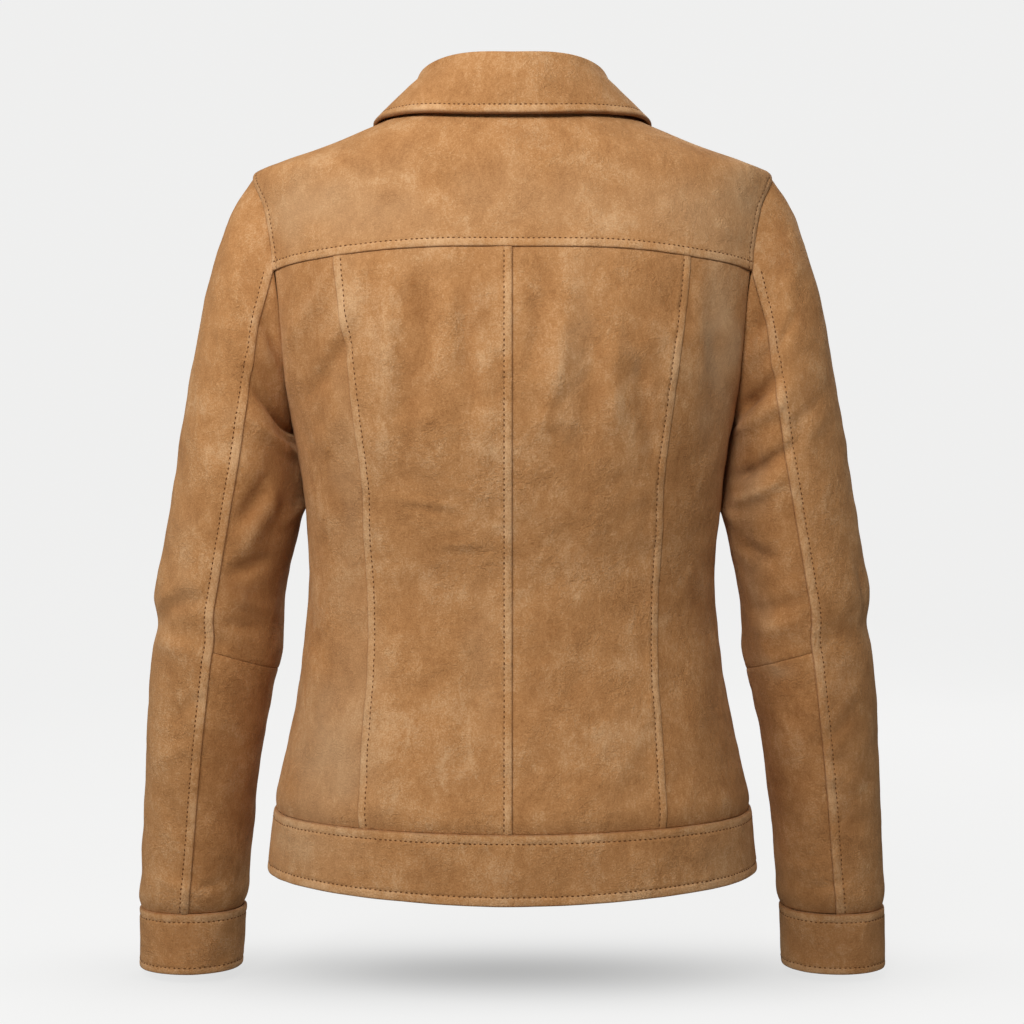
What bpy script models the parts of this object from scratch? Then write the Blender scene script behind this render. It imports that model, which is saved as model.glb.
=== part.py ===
"""A short suede jacket, filled out as worn and hollow, with every cut piece a closed wall.

Lengths are in millimetres until a mesh is made, and angles in degrees. +X is the wearer's left,
+Y the back and +Z up. The origin is the middle of the neck opening, level with the points where
the shoulder seams meet the neck.
"""
import math

import bmesh
import bpy
import numpy as np

MM = 0.001

# Walls and gaps
SUEDE_THICKNESS = 1.5
DOUBLED_THICKNESS = 2.6
SEAM_GAP = 0.3
EDGE_PULL = SEAM_GAP / 2

# Levels of the body
NECK_HALF_WIDTH = 72
SHOULDER_TIP_HEIGHT = -47
ARMPIT_HEIGHT = -240
BAND_TOP_HEIGHT = -545
HEM_HEIGHT = -596
BAND_TOP_RISE_AT_SIDE = 3
HEM_RISE_AT_SIDE = 7
FRONT_NECK_HEIGHT = -78
YOKE_CORNER_HEIGHT = -127

# Front closing: the right front laps over the left one
FRONT_LAP = 15
LAP_RAMP_START = 62
LAP_RAMP_END = 25
LAP_GAP = 0.7
BAND_LAP_GAP = 0.5
FRONT_LIFT = SUEDE_THICKNESS + LAP_GAP
BAND_LIFT = DOUBLED_THICKNESS + BAND_LAP_GAP
LAP_NECK_HEIGHT = FRONT_NECK_HEIGHT + 3

# Armhole: how far it reaches round the body, at the back and at the front
ARMHOLE_REACH_BACK = 14.6
ARMHOLE_REACH_FRONT = 15.4
SLEEVE_FRONT_SEAM_TURN = 230
SLEEVE_STAND_OFF = 0.35
LEAST_MITRE = 0.55

# Sleeve ends
CUFF_TOP_HEIGHT = -628.6
CUFF_BOTTOM_HEIGHT = -676
ELBOW_SEAM_RUN = 285

# How many facets each seam is cut into
BACK_CENTRE_COLUMNS = 5
BACK_SIDE_COLUMNS = 5
SHOULDER_COLUMNS = 5
NECK_BACK_COLUMNS = 5
NECK_FRONT_COLUMNS = 7
YOKE_ROWS = 4
ARMHOLE_BACK_ROWS = 5
ARMHOLE_UNDER_ROWS = 3
ARMHOLE_FRONT_ROWS = 6
SIDE_SEAM_ROWS = 10
SLEEVE_LONGEST_ROW = 36
FRONT_EDGE_ROWS = 12
FRONT_EDGE_CROWDING = 1.3
SHORTEST_SLEEVE_ROW = 8
BAND_ROWS = 2

# Buttons
BUTTON_RADIUS = 8.5
BUTTON_HEIGHT = 3.6
BUTTON_SEAT_GAP = 0.6
BUTTON_SIDES = 14
BUTTON_OUTLINE = ((0.8, 0), (1.0, 1.0), (1.0, 2.2), (0.84, 3.2))
BUTTON_HEIGHTS = (-97, -187, -277, -367, -457)
BAND_BUTTON_HEIGHT = (BAND_TOP_HEIGHT + HEM_HEIGHT) / 2

# Folds of the back and of the front fade into each other over this depth at the sides
FOLD_BLEND_DEPTH = 60
MM_PER_SLEEVE_DEGREE = 0.9

SUEDE_TAN = (0.40, 0.205, 0.095)
SUEDE_DEEP = (0.33, 0.16, 0.072)
BUTTON_BRASS = (0.31, 0.22, 0.12)


def table(columns, rows):
    """Gives one array for each named column of a short table."""
    return dict(zip(columns.split(), np.array(rows, dtype=float).T))


# Level rings of the body, from the neck over the shoulders down to the hem
TORSO = table("height half_width back_depth front_depth squareness", [
    (0, NECK_HALF_WIDTH, 61, 58, 2.0),
    (-7, 104, 67, 66, 2.0),
    (-12.5, 117, 70, 70, 2.05),
    (-22, 139, 75, 76, 2.1),
    (-31, 162, 79, 81, 2.15),
    (-40, 187, 83, 85, 2.2),
    (SHOULDER_TIP_HEIGHT, 202, 86, 88, 2.2),
    (-80, 201, 96, 98, 2.25),
    (-120, 196, 106, 112, 2.3),
    (-170, 186, 114, 124, 2.3),
    (ARMPIT_HEIGHT, 172.5, 115, 127, 2.3),
    (-300, 164, 107, 118, 2.25),
    (-365, 159, 97, 107, 2.2),
    (-430, 165, 100, 107, 2.2),
    (-490, 176, 110, 113, 2.25),
    (BAND_TOP_HEIGHT, 186.5, 119, 119, 2.3),
    (HEM_HEIGHT, 191, 121, 121, 2.3),
])

# Where the yoke is sewn to the back, from the centre outwards
YOKE_SEAM = table("x height", [(0, -117), (60, -117), (98, -118.5), (134, -121.5), (165, -124.5)])

# The seam between a centre back panel and a side back panel
PRINCESS_SEAM = table("x height", [
    (132.8, -121.4),
    (121.5, -212),
    (112.6, -287),
    (110.4, -347),
    (109.6, -450),
    (113.2, BAND_TOP_HEIGHT),
])

# The front neckline, from the centre outwards
FRONT_NECK = table("x height", [(0, FRONT_NECK_HEIGHT), (22, -72), (43, -56), (59, -34), (69, -13)])

# Largest soft folds of the body: a ridge or trough along a line, seen from the back or front
BACK_FOLDS = table("top_x top_height end_x end_height rise half_width", [
    (98, -135, 104, -290, 3.0, 17),
    (62, -130, 66, -270, -3.0, 16),
    (37, -165, 35, -215, 2.2, 15),
    (-18, -145, -18, -215, -2.4, 16),
    (-40, -150, -28, -240, 2.4, 15),
    (-76, -170, -76, -250, 2.2, 15),
    (-96, -205, -98, -280, -2.4, 15),
    (86, -405, 92, -520, 2.6, 22),
])
FRONT_FOLDS = table("top_x top_height end_x end_height rise half_width", [
    (112, -200, 96, -330, 2.6, 22),
    (-108, -190, -90, -320, 2.6, 22),
    (70, -400, 84, -510, 2.4, 22),
    (-78, -380, -86, -500, 2.4, 22),
])

# Level outline of a sleeve: where each slanting ring meets the outer and the inner edge
SLEEVE = table("outer_x outer_height inner_x inner_height half_depth centre_y squareness", [
    (220, -74, 174.4, -246, 52, -1, 2.1),
    (235.5, -118, 173.6, -258, 56, -2, 2.1),
    (246.5, -163, 170.8, -278, 58, -4, 2.1),
    (257.5, -222, 169.0, -306, 58.5, -7, 2.1),
    (267.5, -285, 173.5, -338, 57.5, -10, 2.1),
    (277, -337, 180.5, -374, 56, -13, 2.1),
    (284, -379, 183.5, -405, 54, -15, 2.1),
    (281.5, -398, 184.5, -420, 53, -17, 2.1),
    (285.5, -418, 188.5, -437, 52, -18, 2.1),
    (290.5, -462, 196, -472, 49.5, -21, 2.1),
    (295.5, -540, 207.5, -544, 44, -28, 2.1),
    (298.5, -600, 213.5, -601, 40.5, -33, 2.1),
    (299.5, CUFF_TOP_HEIGHT, 216.5, CUFF_TOP_HEIGHT, 38.5, -35, 2.1),
    (299.8, CUFF_BOTTOM_HEIGHT, 219.5, CUFF_BOTTOM_HEIGHT, 36.5, -35, 2.1),
])

# Where the back seam of the sleeve runs: turn round the ring against the way down the sleeve
SLEEVE_BACK_SEAM = table("run turn", [
    (0, 80.2),
    (10, 91),
    (22, 99),
    (61, 101),
    (102, 98),
    (160, 95.5),
    (281, 95.5),
    (400, 96),
    (495, 93.5),
])
SLEEVE_FRONT_SEAM = table("run turn", [(0, SLEEVE_FRONT_SEAM_TURN), (200, 226), (500, 222)])

# Largest soft folds of a sleeve, round the ring and down the sleeve
SLEEVE_FOLDS = table("start_turn start_run end_turn end_run rise half_width", [
    (150, 120, 100, 178, 2.6, 13),
    (158, 175, 104, 222, 2.4, 13),
    (150, 240, 110, 262, 2.0, 12),
    (20, 250, 62, 286, -2.4, 14),
    (300, 290, 250, 300, -2.4, 14),
    (300, 330, 250, 322, 2.0, 13),
])

# The collar from the centre back, at 0, past the shoulder seam, at 1, to the centre front, at 2
COLLAR_FOLD = table("place rise lean radius", [
    (0, 38.2, 1.5, 4.4),
    (0.5, 39.4, 0.5, 4.4),
    (1, 31.5, -1.0, 4.4),
    (1.5, 23, 1.0, 4.4),
    (2, 16, 3.5, 4.2),
])
COLLAR_EDGE = table("place angle height lift bow", [
    (0, 90, -15.5, 9.2, 2.0),
    (0.4, 62, -14.5, 8.8, 1.5),
    (0.75, 28, -10.5, 7.4, 0.8),
    (1, 3, -8, 6.4, 1.0),
    (1.2, -16, -14, 6.6, 4.0),
    (1.5, -36, -45, 7.2, 6.6),
    (1.75, -48, -88, 8.2, 9.6),
    (2, -60, -130, 8.4, 10.0),
])
COLLAR_SINK = 0.8
COLLAR_FOOT_GAP = 0.5
COLLAR_END_GAP = 1.5


def interpolate(knots, values, at):
    """Smooth curve through a table's rows, with each slope taken from its neighbours."""
    knots = np.asarray(knots, dtype=float)
    values = np.asarray(values, dtype=float)
    at = np.asarray(at, dtype=float)
    slopes = np.gradient(values, knots, axis=0)
    row = np.clip(np.searchsorted(knots, at) - 1, 0, len(knots) - 2)
    step = knots[row + 1] - knots[row]
    part = (at - knots[row]) / step
    if values.ndim > 1:
        step = step[..., None]
        part = part[..., None]
    rest = 1 - part
    start = values[row] * (1 + 2 * part) + slopes[row] * part * step
    end = values[row + 1] * (1 + 2 * rest) - slopes[row + 1] * rest * step
    return start * rest ** 2 + end * part ** 2


def run_length(*columns):
    """Distance run from row to row of some columns."""
    steps = np.diff(np.stack(columns, axis=-1), axis=0)
    return np.concatenate([[0.0], np.cumsum(np.linalg.norm(steps, axis=-1))])


def unit(vectors):
    return vectors / np.linalg.norm(vectors, axis=-1, keepdims=True)


def soft_folds(folds, first, second, first_names, second_names):
    """Sum of ridges and troughs along short lines on a flat map of the cloth."""
    rise = np.zeros(np.broadcast(first, second).shape)
    for row in range(len(folds["rise"])):
        start = np.array([folds[first_names[0]][row], folds[second_names[0]][row]])
        end = np.array([folds[first_names[1]][row], folds[second_names[1]][row]])
        along = end - start
        part = ((first - start[0]) * along[0] + (second - start[1]) * along[1]) / (along @ along)
        held = np.clip(part, 0, 1)
        away = np.hypot(first - start[0] - held * along[0], second - start[1] - held * along[1])
        rise += folds["rise"][row] * np.exp(-(away / folds["half_width"][row]) ** 2)
    return rise


# ---------------------------------------------------------------- body surface

TORSO_LEVEL = run_length(TORSO["half_width"], TORSO["height"])
LEVEL_STEPS = np.linspace(0, TORSO_LEVEL[-1], 3000)
HEIGHT_STEPS = interpolate(TORSO_LEVEL, TORSO["height"], LEVEL_STEPS)


def level_at(height):
    """Distance down the side line of the body at a height."""
    return np.interp(-np.asarray(height, dtype=float), -HEIGHT_STEPS, LEVEL_STEPS)


def torso_ring(level):
    return {name: interpolate(TORSO_LEVEL, TORSO[name], level) for name in TORSO}


def bare_torso_point(angle, level):
    """Point of the smooth body at an angle round it and a level down its side line."""
    ring = torso_ring(level)
    turn = np.radians(angle)
    depth = np.where(np.sin(turn) >= 0, ring["back_depth"], ring["front_depth"])
    across = np.abs(np.cos(turn)) / ring["half_width"]
    through = np.abs(np.sin(turn)) / depth
    radius = (across ** ring["squareness"] + through ** ring["squareness"]) ** (-1 / ring["squareness"])
    return np.stack([radius * np.cos(turn), radius * np.sin(turn), ring["height"] + 0 * turn], axis=-1)


def normal_of(surface, turn, run):
    """Outward normal of a surface from points half a degree and a millimetre to each side."""
    round_way = surface(turn + 0.5, run) - surface(turn - 0.5, run)
    down_way = surface(turn, run + 1) - surface(turn, run - 1)
    return unit(np.cross(down_way, round_way))


def torso_point(angle, level):
    """Point of the body with its largest soft folds."""
    point = bare_torso_point(angle, level)
    fold_names = ("top_x", "end_x"), ("top_height", "end_height")
    back = soft_folds(BACK_FOLDS, point[..., 0], point[..., 2], *fold_names)
    front = soft_folds(FRONT_FOLDS, point[..., 0], point[..., 2], *fold_names)
    share = np.clip(0.5 + point[..., 1] / FOLD_BLEND_DEPTH, 0, 1)
    rise = back * share + front * (1 - share)
    return point + rise[..., None] * torso_normal(angle, level)


def torso_normal(angle, level):
    return normal_of(bare_torso_point, angle, level)


def map_point(x, height, back):
    """Angle and level of a point given by its distance from the centre and its height."""
    level = level_at(height)
    ring = torso_ring(level)
    depth = ring["back_depth"] if back else -ring["front_depth"]
    reach = np.clip(1 - (np.abs(x) / ring["half_width"]) ** ring["squareness"], 0, 1)
    y = depth * reach ** (1 / ring["squareness"])
    return np.stack([np.degrees(np.arctan2(y, x)), level + 0 * y], axis=-1)


def stations(points, count, crowding=1.0):
    """Places along a smooth line through a few map points, evenly spaced or closer at its start."""
    points = np.asarray(points, dtype=float)
    knots = run_length(*bare_torso_point(points[:, 0], points[:, 1]).T)
    fine = interpolate(knots, points, np.linspace(0, knots[-1], 400))
    run = run_length(*bare_torso_point(fine[:, 0], fine[:, 1]).T)
    wanted = run[-1] * np.linspace(0, 1, count + 1) ** crowding
    return np.stack([np.interp(wanted, run, fine[:, 0]), np.interp(wanted, run, fine[:, 1])], axis=-1)


# ---------------------------------------------------------------- armhole

ARMHOLE_MIDDLE = (SHOULDER_TIP_HEIGHT + ARMPIT_HEIGHT) / 2
ARMHOLE_HALF_HEIGHT = (SHOULDER_TIP_HEIGHT - ARMPIT_HEIGHT) / 2
YOKE_CORNER_TURN = math.degrees(math.acos((YOKE_CORNER_HEIGHT - ARMHOLE_MIDDLE) / ARMHOLE_HALF_HEIGHT))


def armhole_map(turn):
    """Map point of the armhole: turn 0 is the shoulder tip, 90 the back and 180 the armpit."""
    sweep = np.radians(turn)
    reach = np.where(np.sin(sweep) >= 0, ARMHOLE_REACH_BACK, ARMHOLE_REACH_FRONT)
    angle = reach * np.sin(sweep)
    level = level_at(ARMHOLE_MIDDLE + ARMHOLE_HALF_HEIGHT * np.cos(sweep))
    return np.stack([angle, level], axis=-1)


def armhole_point(turn):
    place = armhole_map(turn)
    return bare_torso_point(place[..., 0], place[..., 1])


def armhole_turns(start, end, count):
    """Turns that cut a stretch of the armhole into equal lengths."""
    fine = np.linspace(start, end, 300)
    run = run_length(*armhole_point(fine).T)
    return np.interp(np.linspace(0, run[-1], count + 1), run, fine)


TURNS_YOKE = armhole_turns(0, YOKE_CORNER_TURN, YOKE_ROWS)
TURNS_BACK = armhole_turns(YOKE_CORNER_TURN, 180, ARMHOLE_BACK_ROWS)
TURNS_UNDER = armhole_turns(180, SLEEVE_FRONT_SEAM_TURN, ARMHOLE_UNDER_ROWS)
TURNS_FRONT = armhole_turns(SLEEVE_FRONT_SEAM_TURN, 360, ARMHOLE_FRONT_ROWS)

# ---------------------------------------------------------------- sleeve surface

SLEEVE_CENTRE_X = (SLEEVE["outer_x"] + SLEEVE["inner_x"]) / 2
SLEEVE_CENTRE_HEIGHT = (SLEEVE["outer_height"] + SLEEVE["inner_height"]) / 2
ARMHOLE_CENTRE = (armhole_point(0.0) + armhole_point(180.0)) / 2
SLEEVE_RUN = run_length(
    np.concatenate([[ARMHOLE_CENTRE[0]], SLEEVE_CENTRE_X]),
    np.concatenate([[ARMHOLE_CENTRE[2]], SLEEVE_CENTRE_HEIGHT]),
)
CUFF_TOP_RUN = SLEEVE_RUN[-2]
CUFF_BOTTOM_RUN = SLEEVE_RUN[-1]


def sleeve_ring_point(row, turn):
    """Point of one slanting ring of the left sleeve."""
    sweep = np.radians(turn)
    power = 2 / SLEEVE["squareness"][row]
    across = np.sign(np.cos(sweep)) * np.abs(np.cos(sweep)) ** power
    through = np.sign(np.sin(sweep)) * np.abs(np.sin(sweep)) ** power
    half_x = (SLEEVE["outer_x"][row] - SLEEVE["inner_x"][row]) / 2
    half_height = (SLEEVE["outer_height"][row] - SLEEVE["inner_height"][row]) / 2
    return np.stack([
        SLEEVE_CENTRE_X[row] + half_x * across,
        SLEEVE["centre_y"][row] + SLEEVE["half_depth"][row] * through,
        SLEEVE_CENTRE_HEIGHT[row] + half_height * across,
    ], axis=-1)


def bare_sleeve_point(turn, run):
    """Point of the smooth left sleeve: turn round its ring, run down its centre line."""
    turn, run = np.broadcast_arrays(np.asarray(turn, dtype=float), np.asarray(run, dtype=float))
    first = armhole_point(turn) + np.array([SLEEVE_STAND_OFF, 0, 0])
    rings = [first] + [sleeve_ring_point(row, turn) for row in range(len(SLEEVE["outer_x"]))]
    rings = np.stack(rings)
    slopes = np.gradient(rings, SLEEVE_RUN, axis=0)
    row = np.clip(np.searchsorted(SLEEVE_RUN, run) - 1, 0, len(SLEEVE_RUN) - 2)
    step = (SLEEVE_RUN[row + 1] - SLEEVE_RUN[row])[..., None]
    part = (run - SLEEVE_RUN[row])[..., None] / step
    rest = 1 - part

    def pick(values, index):
        return np.take_along_axis(values, index[None, ..., None], axis=0)[0]

    start = pick(rings, row) * (1 + 2 * part) + pick(slopes, row) * part * step
    end = pick(rings, row + 1) * (1 + 2 * rest) - pick(slopes, row + 1) * rest * step
    return start * rest ** 2 + end * part ** 2


def sleeve_normal(turn, run):
    return normal_of(bare_sleeve_point, turn, np.maximum(run, 1.0))


def sleeve_point(turn, run):
    """Point of the left sleeve with its largest soft folds."""
    folds = dict(SLEEVE_FOLDS)
    folds["start_turn"] = folds["start_turn"] * MM_PER_SLEEVE_DEGREE
    folds["end_turn"] = folds["end_turn"] * MM_PER_SLEEVE_DEGREE
    names = ("start_turn", "end_turn"), ("start_run", "end_run")
    rise = soft_folds(folds, np.mod(turn, 360) * MM_PER_SLEEVE_DEGREE, run, *names)
    return bare_sleeve_point(turn, run) + rise[..., None] * sleeve_normal(turn, run)


# ---------------------------------------------------------------- walls

def pull_edges(points, closed):
    """Draws the edges of a piece back along its own surface by half the seam gap."""
    moved = points.copy()
    edges = [(points[0], points[1], moved[0]), (points[-1], points[-2], moved[-1])]
    if not closed:
        edges.append((points[:, 0], points[:, 1], moved[:, 0]))
        edges.append((points[:, -1], points[:, -2], moved[:, -1]))
    for edge, neighbour, target in edges:
        if closed:
            seam_way = unit(np.roll(edge, -1, axis=0) - np.roll(edge, 1, axis=0))
        else:
            seam_way = unit(np.gradient(edge, axis=0))
        inward = neighbour - edge
        inward = inward - np.sum(inward * seam_way, axis=-1, keepdims=True) * seam_way
        target += EDGE_PULL * unit(inward)
    return moved


def wall_mesh(name, outer, inner, closed=False):
    """Closed wall between two grids of points, open only as the cloth is open."""
    rows, columns = outer.shape[:2]
    points = np.concatenate([outer.reshape(-1, 3), inner.reshape(-1, 3)]) * MM
    behind = rows * columns
    last = columns if closed else columns - 1
    faces = []
    for row in range(rows - 1):
        for column in range(last):
            right = (column + 1) % columns
            a = row * columns + column
            b = (row + 1) * columns + column
            c = (row + 1) * columns + right
            d = row * columns + right
            faces.append((a, b, c, d))
            faces.append((behind + d, behind + c, behind + b, behind + a))
    for row in (0, rows - 1):
        for column in range(last):
            a = row * columns + column
            b = row * columns + (column + 1) % columns
            faces.append((a, b, behind + b, behind + a))
    if not closed:
        for column in (0, columns - 1):
            for row in range(rows - 1):
                a = row * columns + column
                b = (row + 1) * columns + column
                faces.append((a, b, behind + b, behind + a))
    mesh = bpy.data.meshes.new(name)
    mesh.from_pydata([tuple(point) for point in points], [], faces)
    return mesh


def finish_object(name, mesh, material):
    """Turns the faces outward, cuts them into triangles and adds the object to the scene."""
    work = bmesh.new()
    work.from_mesh(mesh)
    bmesh.ops.triangulate(work, faces=work.faces)
    bmesh.ops.recalc_face_normals(work, faces=work.faces)
    work.to_mesh(mesh)
    work.free()
    mesh.shade_smooth()
    mesh.set_sharp_from_angle(angle=math.radians(40))
    mesh.materials.append(material)
    item = bpy.data.objects.new(name, mesh)
    bpy.context.scene.collection.objects.link(item)
    item.parent = bpy.data.objects["jacket"]


def add_wall(name, outer, inward, material, closed=False):
    outer = pull_edges(outer, closed)
    finish_object(name, wall_mesh(name, outer, outer + inward, closed), material)


def mirrored(points):
    return points * np.array([-1, 1, 1])


def add_pair(stem, outer, inward, material, closed=False):
    """Adds the left piece and its mirror image on the right."""
    add_wall(stem + "_left", outer, inward, material, closed)
    add_wall(stem + "_right", mirrored(outer), mirrored(inward), material, closed)


def coons(top, bottom, first, last):
    """Grid of map points inside four seams; rows run from the top seam to the bottom seam."""
    down = np.linspace(0, 1, len(first))[:, None, None]
    along = np.linspace(0, 1, len(top))[None, :, None]
    between_rows = (1 - down) * top[None] + down * bottom[None]
    between_columns = (1 - along) * first[:, None] + along * last[:, None]
    corners = (1 - down) * ((1 - along) * top[0] + along * top[-1])
    corners = corners + down * ((1 - along) * bottom[0] + along * bottom[-1])
    return between_rows + between_columns - corners


# ---------------------------------------------------------------- seams of the left half

def seam_map(columns, back=True):
    return map_point(columns["x"], columns["height"], back)


def band_top_level(angle):
    """Level of the seam between the body and the waistband, a little higher at the sides."""
    return level_at(BAND_TOP_HEIGHT + BAND_TOP_RISE_AT_SIDE * np.cos(np.radians(angle)) ** 2)


def hem_level(angle):
    return level_at(HEM_HEIGHT + HEM_RISE_AT_SIDE * np.cos(np.radians(angle)) ** 2)


def line_down(angle, start_level, end_level, count):
    middle_level = (start_level + end_level) / 2
    return stations([(angle, start_level), (angle, middle_level), (angle, end_level)], count)


SHOULDER_TIP_LEVEL = float(level_at(SHOULDER_TIP_HEIGHT))
ARMPIT_LEVEL = float(level_at(ARMPIT_HEIGHT))

PRINCESS_MAP = seam_map(PRINCESS_SEAM)
PRINCESS_MAP[-1, 1] = band_top_level(PRINCESS_MAP[-1, 0])
YOKE_SEAM_MAP = seam_map(YOKE_SEAM)
YOKE_CORNER_MAP = armhole_map(YOKE_CORNER_TURN)
PRINCESS_TOP = PRINCESS_MAP[0]

YOKE_SEAM_OUTER = stations([YOKE_CORNER_MAP, YOKE_SEAM_MAP[4], PRINCESS_TOP], BACK_SIDE_COLUMNS)
YOKE_SEAM_INNER = stations([PRINCESS_TOP, *YOKE_SEAM_MAP[2::-1]], BACK_CENTRE_COLUMNS)
PRINCESS = stations(PRINCESS_MAP, ARMHOLE_BACK_ROWS + SIDE_SEAM_ROWS)
CENTRE_YOKE_LEVEL = float(YOKE_SEAM_MAP[0, 1])
CENTRE_BACK = line_down(90, CENTRE_YOKE_LEVEL, float(band_top_level(90)), ARMHOLE_BACK_ROWS + SIDE_SEAM_ROWS)
SIDE_SEAM = line_down(0, ARMPIT_LEVEL, float(band_top_level(0)), SIDE_SEAM_ROWS)
SHOULDER = line_down(0, 0, SHOULDER_TIP_LEVEL, SHOULDER_COLUMNS)
NECK_BACK = stations([(0, 0), (45, 0), (90, 0)], NECK_BACK_COLUMNS)
FRONT_NECK_MAP = seam_map(FRONT_NECK, back=False)
NECK_LAP_END = map_point(float(FRONT_LAP), LAP_NECK_HEIGHT, False)
NECK_FRONT = np.concatenate([
    FRONT_NECK_MAP[:1],
    stations([NECK_LAP_END, *FRONT_NECK_MAP[1:], (0, 0)], NECK_FRONT_COLUMNS - 1),
])


def waist_line(start_angle, end_angle, count):
    angles = np.linspace(start_angle, end_angle, 9)
    return stations(np.stack([angles, band_top_level(angles)], axis=-1), count)


def front_waist_angles():
    """Angles of the columns of a front where it meets the waistband, from the centre to the side."""
    lap_end = float(map_point(float(FRONT_LAP), BAND_TOP_HEIGHT, False)[0])
    return waist_line(lap_end, 0.0, NECK_FRONT_COLUMNS - 1)


def torso_inward(grid, thickness=SUEDE_THICKNESS):
    return -thickness * torso_normal(grid[..., 0], grid[..., 1])


def armhole_mitre(turns, own_is_sleeve):
    """Slanting wall end at the armhole, so that body and sleeve meet on the line between them."""
    place = armhole_map(turns)
    body = torso_normal(place[:, 0], place[:, 1])
    sleeve = sleeve_normal(turns, np.zeros(len(turns)))
    seam_way = unit(armhole_point(turns + 1) - armhole_point(turns - 1))
    into_body = np.cross(seam_way, body)
    into_body = into_body * -np.sign(into_body[:, :1])
    convex = np.sum(sleeve * into_body, axis=-1, keepdims=True) < 0
    own = sleeve if own_is_sleeve else body
    middle = unit(body + sleeve)
    reach = np.clip(np.sum(middle * own, axis=-1, keepdims=True), LEAST_MITRE, 1)
    return -SUEDE_THICKNESS * np.where(convex, middle / reach, own)


# ---------------------------------------------------------------- pieces

def make_back_yoke(material):
    side = armhole_map(TURNS_YOKE)
    middle = line_down(90, 0, CENTRE_YOKE_LEVEL, YOKE_ROWS)
    top = np.concatenate([SHOULDER[::-1], NECK_BACK[1:]])
    bottom = np.concatenate([YOKE_SEAM_OUTER, YOKE_SEAM_INNER[1:]])
    grid = coons(top, bottom, side, middle)
    outer = torso_point(grid[..., 0], grid[..., 1])
    inward = torso_inward(grid)
    inward[:, 0] = armhole_mitre(TURNS_YOKE, False)
    other_grid = grid[:, -2::-1] * np.array([-1, 1]) + np.array([180, 0])
    other = torso_point(other_grid[..., 0], other_grid[..., 1])
    whole = np.concatenate([outer, other], axis=1)
    whole_inward = np.concatenate([inward, mirrored(inward[:, -2::-1])], axis=1)
    add_wall("back_yoke", whole, whole_inward, material)


def both_sides(grid):
    """The same map grid on the left and on the right, each with its own folds."""
    right = grid * np.array([-1, 1]) + np.array([180, 0])
    return (
        ("_left", torso_point(grid[..., 0], grid[..., 1]), 1),
        ("_right", torso_point(right[..., 0], right[..., 1]), -1),
    )


def make_back_panels(centre_material, side_material):
    bottom = waist_line(float(PRINCESS[-1, 0]), 90.0, BACK_CENTRE_COLUMNS)
    centre_grid = coons(YOKE_SEAM_INNER, bottom, PRINCESS, CENTRE_BACK)
    for suffix, outer, hand in both_sides(centre_grid):
        inward = torso_inward(centre_grid) * np.array([hand, 1, 1])
        add_wall("back_centre" + suffix, outer, inward, centre_material)

    bottom = waist_line(0.0, float(PRINCESS[-1, 0]), BACK_SIDE_COLUMNS)
    side = np.concatenate([armhole_map(TURNS_BACK), SIDE_SEAM[1:]])
    side_grid = coons(YOKE_SEAM_OUTER, bottom, side, PRINCESS)
    for suffix, outer, hand in both_sides(side_grid):
        inward = torso_inward(side_grid)
        inward[:len(TURNS_BACK), 0] = armhole_mitre(TURNS_BACK, False)
        add_wall("back_side" + suffix, outer, inward * np.array([hand, 1, 1]), side_material)


def lap_lift(x, lift):
    """How far the upper front stands off, growing from its ramp to the centre and past it."""
    part = np.clip((x + LAP_RAMP_START) / (LAP_RAMP_START - LAP_RAMP_END), 0, 1)
    return lift * part * part * (3 - 2 * part)


def lap_map(height):
    """Map point on the front edge of the left front, past the centre."""
    return map_point(-float(FRONT_LAP), height, False)


def make_fronts(material):
    neck_lap = lap_map(LAP_NECK_HEIGHT)
    top = np.concatenate([neck_lap[None], NECK_FRONT])
    turns = np.concatenate([TURNS_FRONT[::-1], TURNS_UNDER[-2::-1]])
    side = np.concatenate([SHOULDER, armhole_map(turns)[1:], SIDE_SEAM[1:]])
    heights = np.linspace(LAP_NECK_HEIGHT, BAND_TOP_HEIGHT, FRONT_EDGE_ROWS)
    edge = stations([lap_map(height) for height in heights], len(side) - 1, FRONT_EDGE_CROWDING)
    edge = edge + np.where(edge[:, :1] > 0, np.array([-360.0, 0.0]), 0.0)
    edge[-1, 1] = band_top_level(edge[-1, 0])
    centre = np.array([[-90.0, band_top_level(-90)]])
    bottom = np.concatenate([edge[-1:], centre, front_waist_angles()])
    grid = coons(top, bottom, edge, side)
    inward = torso_inward(grid)
    inward[SHOULDER_COLUMNS:SHOULDER_COLUMNS + len(turns), -1] = armhole_mitre(turns, False)
    for suffix, outer, hand in both_sides(grid):
        if hand < 0:
            lift = lap_lift(outer[..., 0], FRONT_LIFT)
            outer = outer + lift[..., None] * -unit(inward) * np.array([-1, 1, 1])
        add_wall("front" + suffix, outer, inward * np.array([hand, 1, 1]), material)


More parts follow.
